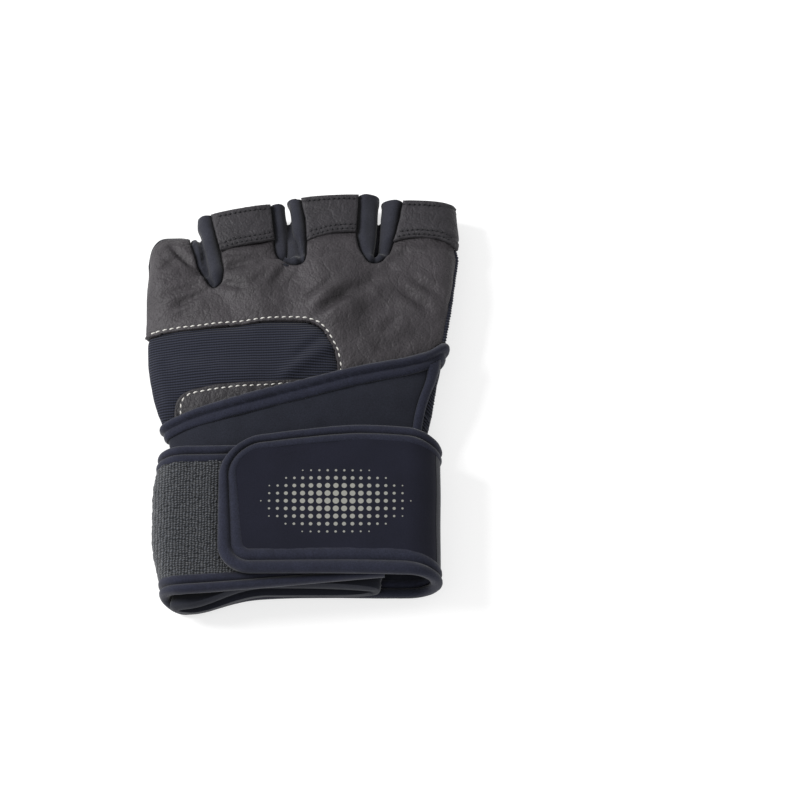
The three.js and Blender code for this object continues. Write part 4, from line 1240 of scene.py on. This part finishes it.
def thread_mesh(rows, tree, length, pitch, radius, lift=0.0, turn=0.0, height=60.0):
    """Stitches along lines of the pattern, laid on a surface seen from above, as one mesh."""
    sides = 6
    stations = [(-0.5, 0.35, -0.5), (-0.38, 0.8, 0.1), (0, 1, 0.6), (0.38, 0.8, 0.1), (0.5, 0.35, -0.5)]
    points, faces = [], []
    down = Vector((0, 0, -1))
    for row in rows:
        row = np.asarray(row, float)
        steps = np.hypot(*np.diff(row, axis=0).T)
        reach = np.concatenate([[0], np.cumsum(steps)])
        for middle in np.arange(pitch / 2, reach[-1], pitch):
            at = [np.interp(middle + way, reach, row[:, k]) for way in (-0.1, 0.1) for k in (0, 1)]
            run = np.array([at[2] - at[0], at[3] - at[1]])
            run /= max(np.hypot(*run), 1e-9)
            run = np.array([
                run[0] * math.cos(turn) - run[1] * math.sin(turn),
                run[0] * math.sin(turn) + run[1] * math.cos(turn),
            ])
            centre = np.array([(at[0] + at[2]) / 2, (at[1] + at[3]) / 2])
            ends = []
            for way in (-0.5, 0.5):
                x, y = centre + run * way * length
                hit = tree.ray_cast(Vector((x, y, height)), down)[0]
                if hit is not None:
                    ends.append(np.array(hit))
            if len(ends) < 2:
                continue
            ahead = ends[1] - ends[0]
            size = np.linalg.norm(ahead)
            ahead /= size
            across = np.cross((0, 0, 1), ahead)
            across /= np.linalg.norm(across)
            up = np.cross(ahead, across)
            first = len(points)
            for along, thick, rise in stations:
                place = (ends[0] + ends[1]) / 2 + ahead * along * size + up * (rise * radius + lift)
                for k in range(sides):
                    angle = 2 * math.pi * k / sides
                    off = across * math.cos(angle) + up * math.sin(angle)
                    points.append(place + off * radius * thick)
            for r in range(len(stations) - 1):
                for k in range(sides):
                    here, side = first + r * sides + k, first + r * sides + (k + 1) % sides
                    faces.append([here, side, side + sides, here + sides])
            faces.append([first + k for k in reversed(range(sides))])
            faces.append([first + (len(stations) - 1) * sides + k for k in range(sides)])
    return np.array(points), faces


def offset_line(line, distance):
    """A line moved sideways in the plane, to its left."""
    run = np.gradient(line, axis=0)
    run /= np.hypot(*run.T)[:, None]
    return line + distance * np.stack([-run[:, 1], run[:, 0]], axis=1)


def build_threads(back_tree, hem_trees, patch_tree):
    seam = offset_line(KNIT_LINE[(KNIT_LINE[:, 0] > -57.6) & (KNIT_LINE[:, 1] > -4)], STITCH_INSET)
    points, faces = thread_mesh([seam], back_tree, 1.75, 2.6, 0.31, turn=math.radians(7))
    make_piece("knit_stitches", points, faces, WHITE_THREAD)
    points, faces = thread_mesh([curve_through(PATCH_THREAD)], patch_tree, 1.7, 2.6, 0.31, turn=math.radians(7))
    make_piece("patch_stitches", points, faces, WHITE_THREAD)
    for name, tree in hem_trees.items():
        fold = hem_fold(name)
        stub = next(stub for stub in STUBS if name.startswith(stub.name))
        centre, half, _, across, _, _ = stub_station(stub, 1)
        facing = np.array([-across[1], across[0]])
        top = [centre[:2] + across[:2] * half * way - facing * 2.2 for way in (-0.62, -0.3, 0, 0.3, 0.66)]
        rows = [offset_line(fold, 1.3), offset_line(fold, 3.2), curve_through(top)]
        points, faces = thread_mesh(rows, tree, 1.15, 1.85, 0.4)
        make_piece(name + "_stitches", points, faces, DARK_THREAD)


def build_piping(form):
    """An overlocked seam: a cord with the ridges of its threads along the index side."""
    tree = BVHTree.FromPolygons(form[0][:, :3].tolist(), form[1].tolist())
    radius = 1.25
    low, high = cuff_edge(HALF_WIDTH) - 2, hand_y(1) + 1.5
    path = []
    for y in np.linspace(low, high, 260):
        height = -split_field(np.array([[HALF_WIDTH, y, 0.0]]))[0] - 0.4
        hit = tree.ray_cast(Vector((HAND_WIDTH, y, height)), Vector((-1, 0, 0)))[0]
        path.append((hit.x - 0.4, y, height) if hit else path[-1])
    path = relaxed_line(np.array(path), 30)
    ahead = np.gradient(path, axis=0)
    ahead /= np.linalg.norm(ahead, axis=1)[:, None]
    across = np.cross(ahead, (0, 0, 1))
    across /= np.linalg.norm(across, axis=1)[:, None]
    up = np.cross(across, ahead)
    run = np.concatenate([[0], np.cumsum(np.linalg.norm(np.diff(path, axis=0), axis=1))])
    angle = 2 * np.pi * np.arange(14) / 14
    ridge = 1 + 0.13 * np.sin(2 * np.pi * run[:, None] / 1.1 + angle[None, :])
    size = (radius * ridge * np.minimum(1, (len(run) - np.arange(len(run)))[:, None] / 12))[..., None]
    off = np.cos(angle)[None, :, None] * across[:, None] + np.sin(angle)[None, :, None] * up[:, None]
    points, faces = loft(path[:, None] + off * size)
    make_piece("side_piping", points, faces, BINDING_LOOK, "side_piping")


def relaxed_line(path, rounds):
    for _ in range(rounds):
        path = np.vstack([path[:1], (path[:-2] + 2 * path[1:-1] + path[2:]) / 4, path[-1:]])
    return path


def build_palm_patch():
    """A flat suede reinforcement with round corners, which the glove rests on."""
    low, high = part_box("palm_patch")
    step = 0.8
    x = np.arange(low[0] / MM - step, high[0] / MM + 2 * step, step) - SHIFT[0]
    y = np.arange(low[1] / MM - step, high[1] / MM + 2 * step, step) - SHIFT[1]
    grid = np.stack(np.meshgrid(x, y), axis=-1).reshape(-1, 2)
    columns = len(x)
    quads = grid_faces(len(y), columns)[:, ::-1]
    tris = np.vstack([quads[:, [0, 1, 2]], quads[:, [0, 2, 3]]])
    top = (high[2] - low[2]) / MM
    flat = np.hstack([grid, np.full((len(grid), 1), top), np.zeros((len(grid), 2)), -np.ones((len(grid), 1))])
    radius = hand_x(0.12)
    centre = np.array([(low[0] + high[0]) / 2 / MM - SHIFT[0], (low[1] + high[1]) / 2 / MM - SHIFT[1]])
    half = np.array([(high[0] - low[0]) / 2 / MM, (high[1] - low[1]) / 2 / MM])

    def field(points):
        off = np.abs(points[:, :2] - centre) - half + radius
        return np.hypot(*np.maximum(off, 0).T) + np.minimum(off.max(axis=1), 0) - radius

    patch = scored(cut((flat, tris), field), field, (-0.3, -0.7, -1.2, -2.0))
    deep = -field(patch[0])
    points, faces = shell(patch, top + rounded_edge(deep, 0.8) + line_groove(deep, 2.0, 0.2), 0.0)
    make_piece("palm_patch", points, faces, SUEDE_LOOK, "palm_patch")


def build_thumb(form):
    side, rise = rounded_ring(72, 0.7, 0.5)
    ahead = np.array([-math.sin(THUMB_LEAN), math.cos(THUMB_LEAN), 0])
    across = np.array([math.cos(THUMB_LEAN), math.sin(THUMB_LEAN), 0])
    rings = []
    for along in np.linspace(-0.2, 1, 80):
        row = THUMB_STATIONS.at(along)
        centre = np.array([hand_x(THUMB_ROOT[0]), hand_y(THUMB_ROOT[1]), THUMB_HEIGHT * (0.5 + row.rise)])
        centre = centre + ahead * along * THUMB_LENGTH
        half, height = THUMB_WIDTH * row.width / 2, THUMB_HEIGHT * row.height / 2
        rings.append(centre + side * across * half + rise * np.array([0, 0, 1]) * height)
    tree = BVHTree.FromPolygons(form[0][:, :3].tolist(), form[1].tolist())

    def outside_hand(points):
        """Below zero where a point lies under the palm."""
        value = []
        for x, y, z in points[:, :3]:
            hit = tree.ray_cast(Vector((x, y, -20)), Vector((0, 0, 1)))[0]
            value.append(z - hit.z - 0.8 if hit else -1.0)
        return np.array(value)

    sleeve = cut(sheet_of(np.array(rings)), outside_hand)
    seam = THUMB_LENGTH - THUMB_HEM_LENGTH
    before_hem = lambda points: thumb_frame(points)[0] - seam
    for name, part, look, slot in (
        ("thumb_sleeve", cut(sleeve, before_hem), SUEDE_LOOK, "suede"),
        ("thumb_hem", cut(sleeve, opposite(before_hem)), HEM_LOOK, "leather"),
    ):
        place = part[0][:, :3]
        deep = border_distance(part)
        surface = 0.35 * noise(place, 8, 18) + 0.15 * noise(place, 3, 19) - 0.3
        surface = np.minimum(surface, (place[:, 2] - 0.1) / np.maximum(-part[0][:, 5], 0.2))
        if name == "thumb_hem":
            surface += 0.25 + line_groove(thumb_frame(part[0])[0], seam + 1.5, 0.3)
        points, faces = shell(part, surface + rounded_edge(deep, 0.7), surface - 1.4)
        make_piece(name, points, faces, look, name)


LEFT_BULGE = 1.4


def build_hand():
    form = base_form()
    form = cut(cut(form, under_cuff_field), mouth_field)
    form[0][:, 0] -= LEFT_BULGE * smoothstep(-form[0][:, 0], 25, 57)
    body = build_stretch_strips(form)
    build_knit(body)
    rest = cut(body, opposite(knit_field))
    back_tree = build_back(rest)
    build_palm(rest)
    hem_trees = build_hems(form)
    patch_tree = build_patch(form)
    build_threads(back_tree, hem_trees, patch_tree)
    build_piping(form)
    build_palm_patch()
    return form




# The cuff


def sheet_of(rings):
    """A triangle sheet over rings of points, open at its ends."""
    steps, count = rings.shape[:2]
    points = rings.reshape(-1, 3)
    here = (np.arange(steps - 1)[:, None] * count + np.arange(count)).ravel()
    side = (np.arange(steps - 1)[:, None] * count + (np.arange(count) + 1) % count).ravel()
    tris = np.vstack([
        np.stack([here, side, here + count], axis=1),
        np.stack([side, side + count, here + count], axis=1),
    ])
    out = normals_of(points, tris)
    if ((points - points.mean(0)) * out).sum() < 0:
        tris = tris[:, ::-1]
        out = -out
    return np.hstack([points, out]), tris


def below_edge_field(drop):
    return lambda points: points[:, 1] - cuff_edge(points[:, 0]) + drop


# The cuff's hem lies lower on the little finger's side.
HEM_SKEW = 7.0
BAND_TUCK = 1.5
SIDE_SEAM_OUTLINE = [
    (39.8, -30), (39.8, -22), (40.4, -15.5), (41.6, -10), (43.1, -5.3), (45, 0.4), (46.5, 10), (50, 10), (48.4, 0.6),
    (46.3, -5.3), (44.6, -11), (43.4, -17), (42.9, -22), (42.9, -30),
]


def cuff_rings():
    """The cuff's tube, drawn out on the little finger's side so that its hem slants."""
    rings = tube(CUFF_ROWS, CUFF_START, CUFF_LENGTH, 90, 130)
    reach = np.linspace(1, 0, len(rings))[:, None] ** 2
    rings[..., 1] -= HEM_SKEW * smoothstep(-rings[..., 0], 12, 45) * reach
    x, y = rings[..., 0], rings[..., 1]
    rings[..., 0] = x + pinch(x, y) - 2.4 * smoothstep(x, 38, 55) * smoothstep(y, -20, 5)
    return rings


def build_cuff():
    form = sheet_of(cuff_rings())
    sleeve_edge = below_edge_field(CUFF_BINDING_WIDTH - BAND_TUCK)
    sleeve = cut(form, sleeve_edge)
    place = sleeve[0][:, :3]
    deep = border_distance(sleeve)
    surface = 0.45 * noise(place, 14, 8) + 0.15 * noise(place, 5, 30) + rounded_edge(deep, 1.1)
    surface += line_groove(deep, 2.2, 0.3) * (place[:, 1] < WRAP_LOWER_EDGE + 20)
    hem = (place[:, 1] < WRAP_LOWER_EDGE + 20) * np.sqrt(np.clip(1 - ((deep - 1.9) / 2) ** 2, 0, 1))
    points, faces = shell(sleeve, surface + 0.8 * hem, -CUFF_WALL - 0.6 * hem)
    make_piece("cuff", points, faces, PADDED_LOOK, "cuff")

    band = cut(cut(form, below_edge_field(0)), opposite(below_edge_field(CUFF_BINDING_WIDTH)))
    levels = [row - CUFF_BINDING_WIDTH for row in (0.4, 0.9, 1.5, 2.2, 2.9, 3.3, 3.7, 4.3, 5, 5.8, 6.3, 6.7)]
    band = scored(band, below_edge_field(CUFF_BINDING_WIDTH), [-level for level in levels])
    place = band[0][:, :3]
    down = cuff_edge(place[:, 0]) - place[:, 1]
    roll = 2.1 * np.sqrt(np.clip(1 - ((down - 1.7) / 1.75) ** 2, 0, 1))
    lip = 1.25 * np.sqrt(np.clip(1 - ((down - 5.2) / 1.85) ** 2, 0, 1))
    surface = np.maximum(roll, lip) + 0.18 * noise(place, 4, 9) * np.minimum(1, roll + lip)
    points, faces = shell(band, surface, np.full(len(surface), -1.2))
    make_piece("cuff_binding", points, faces, BINDING_LOOK, "cuff_binding")

    outline = curve_through(SIDE_SEAM_OUTLINE)
    field = lambda at: region_distance(at[:, :2], outline)
    seam = cut(cut(cut(form, field), sleeve_edge), lambda at: 10 - at[:, 2])
    seam = scored(seam, field, (-0.3, -0.7, -1.1))
    deep = -field(seam[0])
    surface = 0.2 + 1.4 * np.sqrt(np.clip(1 - ((np.clip(deep, 0, 1.5) - 1.5) / 1.55) ** 2, 0, 1))
    points, faces = shell(seam, surface, 0.05)
    make_piece("cuff_side_seam", points, faces, BINDING_LOOK, "cuff_side_seam")
    tree = BVHTree.FromPolygons(form[0][:, :3].tolist(), form[1].tolist())
    side = []
    for y in np.arange(5.0, -30.0, -1.0):
        near = np.abs(form[0][:, 1] - y) < 1.2
        side.append((form[0][near, 0].max() - 1.9, y))
    points, faces = thread_mesh([side], tree, 3.6, 1.15, 0.34, lift=0.35, turn=math.radians(62))
    make_piece("cuff_overlock", points, faces, BINDING_LOOK)
    return form


FORM = build_hand()
build_thumb(FORM)
build_cuff()


# The wrist wrap

LAYER = WRAP_BINDING_THICKNESS + WRAP_CLEARANCE
LOW_LAYER = WRAP_BINDING_THICKNESS / 2
FLAP_LAYER = WRAP_INNER_HEIGHT + LAYER
LEFT_RADIUS = (WRAP_INNER_HEIGHT - LOW_LAYER) / 2
RIGHT_RADIUS = (FLAP_LAYER - LOW_LAYER) / 2
LEFT_CENTRE = WRAP_LEFT + WRAP_BINDING_THICKNESS / 2 + LEFT_RADIUS
RIGHT_CENTRE = WRAP_RIGHT - WRAP_BINDING_THICKNESS / 2 - RIGHT_RADIUS
STRETCHES = np.array([
    WRAP_START - LEFT_CENTRE,
    math.pi * LEFT_RADIUS,
    RIGHT_CENTRE - LEFT_CENTRE,
    math.pi * RIGHT_RADIUS,
    RIGHT_CENTRE - FLAP_END,
])
WRAP_LENGTH = STRETCHES.sum()


FLAP_SHORTER = 1.8


def wrap_at(length):
    """Place, outward direction and turn count at lengths along the strap."""
    ends = np.cumsum(STRETCHES)
    i = np.minimum(np.searchsorted(ends, length, side="left"), len(ends) - 1)
    rest = length - (ends[i] - STRETCHES[i])
    radius = np.where(i == 1, LEFT_RADIUS, RIGHT_RADIUS)
    angle = math.pi / 2 + rest / radius + np.where(i == 3, math.pi, 0)
    curved = (i == 1) | (i == 3)
    out_x = np.where(curved, np.cos(angle), 0)
    out_z = np.where(curved, np.sin(angle), np.where(i == 2, -1, 1))
    x = np.choose(i, [
        WRAP_START - rest,
        LEFT_CENTRE + LEFT_RADIUS * out_x,
        LEFT_CENTRE + rest,
        RIGHT_CENTRE + RIGHT_RADIUS * out_x,
        RIGHT_CENTRE - rest,
    ])
    z = np.choose(i, [
        WRAP_INNER_HEIGHT + 0 * rest,
        LOW_LAYER + LEFT_RADIUS * (1 + out_z),
        LOW_LAYER + 0 * rest,
        LOW_LAYER + RIGHT_RADIUS * (1 + out_z),
        FLAP_LAYER + 0 * rest,
    ])
    return x, z, out_x, out_z, i + rest / STRETCHES[i]


def wound(length, across, lift):
    """Winds points of the flat strap: length along it, height across it, and lift off its middle."""
    length, across, lift = np.broadcast_arrays(*(np.asarray(v, float) for v in (length, across, lift)))
    x, z, out_x, out_z, turn = wrap_at(length)
    skew = WRAP_SKEW.at(turn)
    y = WRAP_LOWER_EDGE + across + WRAP_WIDTH * mix(skew.lower, skew.upper, across / WRAP_WIDTH)
    x = x + np.where(turn > 4, FLAP_SHORTER * smoothstep(-x, -10, 30), pinch(x, y))
    return np.stack([x + out_x * lift, y, z + out_z * lift], axis=-1)


def corner_inset(length, end, radius):
    into = length - (end - radius)
    return np.where(into <= 0, 0, radius - np.sqrt(np.maximum(radius**2 - np.clip(into, 0, radius) ** 2, 0)))


def strap_panel(name, start, end, material, step, relief, corners=(0.0, 0.0)):
    """A fine slab of the strap between two lengths, within its bindings."""
    tuck = 1.0
    margin = WRAP_BINDING_WIDTH - tuck
    lengths = np.linspace(start, end, int((end - start) / step) + 2)
    shares = np.linspace(0, 1, int((WRAP_WIDTH - 2 * margin) / step) + 2)
    lower, upper = (margin + corner_inset(lengths, end, corner) for corner in corners)
    across = mix(lower[:, None], (WRAP_WIDTH - upper)[:, None], shares[None, :])
    along = np.broadcast_to(lengths[:, None], across.shape)
    half = WRAP_THICKNESS / 2
    top = wound(along, across, half + relief(along, across))
    low = wound(along, across, -half)
    rows, columns = along.shape
    points = np.vstack([top.reshape(-1, 3), low.reshape(-1, 3)])
    faces = grid_faces(rows, columns)
    count = rows * columns
    ring = np.concatenate([
        np.arange(columns),
        np.arange(1, rows) * columns + columns - 1,
        (rows - 1) * columns + np.arange(columns - 2, -1, -1),
        np.arange(rows - 2, 0, -1) * columns,
    ])
    after = np.roll(ring, -1)
    rim = np.stack([after, ring, ring + count, after + count], axis=1)
    faces = np.vstack([faces, faces[:, ::-1] + count, rim])
    return make_piece(name, points, faces, material, name)


def binding_run(step):
    """The binding's run: up one edge of the strap, round the flap's corners, back along the other."""
    run, corners = [], 14
    for upper, radius in ((True, FLAP_UPPER_CORNER), (False, FLAP_LOWER_CORNER)):
        straight = WRAP_LENGTH - radius
        lengths = np.linspace(0, straight, int(straight / step))
        side = 1 if upper else -1
        edge = WRAP_WIDTH if upper else 0
        part = [(length, edge, 0, -side) for length in lengths]
        for k in range(1, corners + 1):
            angle = math.pi / 2 * (1 - k / corners)
            ahead, aside = math.cos(angle), side * math.sin(angle)
            middle = WRAP_WIDTH - radius if upper else radius
            part.append((straight + radius * ahead, middle + radius * aside, -ahead, -aside))
        run += part if upper else part[::-1]
    return np.array(run)


# Section of a binding, from its outer fold: an outer roll, a groove where it is sewn, and an inner
# roll. Inward and lift are shares of its width and thickness.
BINDING_SECTION = [
    (0, 0), (0.012, 0.18), (0.05, 0.36), (0.12, 0.48), (0.21, 0.53), (0.31, 0.52), (0.4, 0.44), (0.46, 0.31),
    (0.5, 0.22), (0.54, 0.29), (0.6, 0.42), (0.7, 0.49), (0.81, 0.48), (0.91, 0.42), (0.97, 0.34), (1, 0.2),
]
FLAP_LOWER_BINDING = 1.42
FLAP_UPPER_BINDING = 0.95


def binding_width(length, across):
    """The binding is widest along the flap's lower edge."""
    on_flap = smoothstep(length, WRAP_LENGTH - 88, WRAP_LENGTH - 66)
    upper = smoothstep(across, 6, 40)
    return WRAP_BINDING_WIDTH * mix(1, mix(FLAP_LOWER_BINDING, FLAP_UPPER_BINDING, upper), on_flap)


def build_wrap():
    def smooth(along, across):
        flat = np.stack([along, across, 0 * along], axis=-1).reshape(-1, 3)
        return (0.25 * noise(flat, 14, 20)).reshape(along.shape)

    def pile(along, across):
        flat = np.stack([along, across, 0 * along], axis=-1).reshape(-1, 3)
        return (0.3 * noise(flat, 0.9, 21) + 0.2 * noise(flat, 12, 22)).reshape(along.shape)

    loop_end = STRETCHES[0] + STRETCHES[1] + LOOP_END_ON_PALM - LEFT_CENTRE
    flap_start = WRAP_LENGTH - (FLAP_PANEL_EDGE - FLAP_END)
    loops = strap_panel("loop_band", 0, loop_end, LOOP_LOOK, 0.5, pile)
    cloth = strap_panel("wrap_strap", loop_end + 0.3, flap_start - 0.3, PADDED_LOOK, 1.2, smooth)
    flap = strap_panel(
        "flap_panel", flap_start, WRAP_LENGTH - WRAP_BINDING_WIDTH + 1, FLAP_LOOK, 0.8, smooth,
        corners=(FLAP_LOWER_CORNER - WRAP_BINDING_WIDTH + 1, FLAP_UPPER_CORNER - WRAP_BINDING_WIDTH + 1),
    )
    run = binding_run(1.2)
    half = np.array(BINDING_SECTION)
    section = np.vstack([half, (half * (1, -1))[:0:-1]])
    inward = section[:, 0] * binding_width(run[:, 0], run[:, 1])[:, None]
    wobble = np.stack([run[:, 0], run[:, 1], 0 * run[:, 0]], axis=1)
    swell = 1 + 0.08 * noise(wobble, 5, 23) + 0.06 * noise(wobble, 2.2, 24)
    rings = wound(
        run[:, :1] + run[:, 2:3] * inward,
        run[:, 1:2] + run[:, 3:4] * inward,
        section[:, 1] * WRAP_BINDING_THICKNESS * swell[:, None],
    )
    points, faces = loft(rings)
    make_piece("wrap_binding", points, faces, BINDING_LOOK, "wrap_binding")


build_wrap()

# Light, floor and camera

CENTRE = Vector((0.03456, 0.00402, 0.0))
ELEVATION = math.radians(65)
DISTANCE = 1.644


def build_stage():
    mesh = bpy.data.meshes.new("floor")
    reach = 3.0
    corners = [(-reach, -reach, 0), (reach, -reach, 0), (reach, reach, 0), (-reach, reach, 0)]
    mesh.from_pydata(corners, [], [(0, 1, 2, 3)])
    floor = bpy.data.objects.new("floor", mesh)
    bpy.context.scene.collection.objects.link(floor)
    look = bpy.data.materials.new("floor")
    look.use_nodes = True
    shader = look.node_tree.nodes["Principled BSDF"]
    shader.inputs["Base Color"].default_value = (0.5, 0.5, 0.5, 1)
    shader.inputs["Roughness"].default_value = 0.9
    shader.inputs["Specular IOR Level"].default_value = 0.0
    shader.inputs["Emission Color"].default_value = (1, 1, 1, 1)
    shader.inputs["Emission Strength"].default_value = 0.62
    mesh.materials.append(look)


def area_light(name, place, size, power):
    light = bpy.data.lights.new(name, "AREA")
    light.size = size
    light.energy = power
    obj = bpy.data.objects.new(name, light)
    obj.location = place
    obj.rotation_euler = (Vector((0, 0, 0)) - obj.location).to_track_quat("-Z", "Y").to_euler()
    bpy.context.scene.collection.objects.link(obj)


def build_light_and_camera():
    world = bpy.data.worlds.new("studio")
    world.use_nodes = True
    background = world.node_tree.nodes["Background"]
    background.inputs["Color"].default_value = (1, 1, 1, 1)
    background.inputs["Strength"].default_value = 0.52
    bpy.context.scene.world = world
    area_light("key", (-1.0, 0.25, 0.8), 0.5, 21)
    area_light("fill", (0.5, -0.8, 1.0), 1.0, 4)
    camera = bpy.data.cameras.new("camera")
    camera.lens = 200
    camera.sensor_width = 36
    camera.clip_end = 20
    obj = bpy.data.objects.new("camera", camera)
    back = Vector((0, -math.cos(ELEVATION), math.sin(ELEVATION)))
    obj.location = CENTRE + back * DISTANCE
    obj.rotation_euler = (math.pi / 2 - ELEVATION, 0, 0)
    bpy.context.scene.collection.objects.link(obj)
    bpy.context.scene.camera = obj
    bpy.context.scene.view_settings.view_transform = "Standard"


build_stage()
build_light_and_camera()
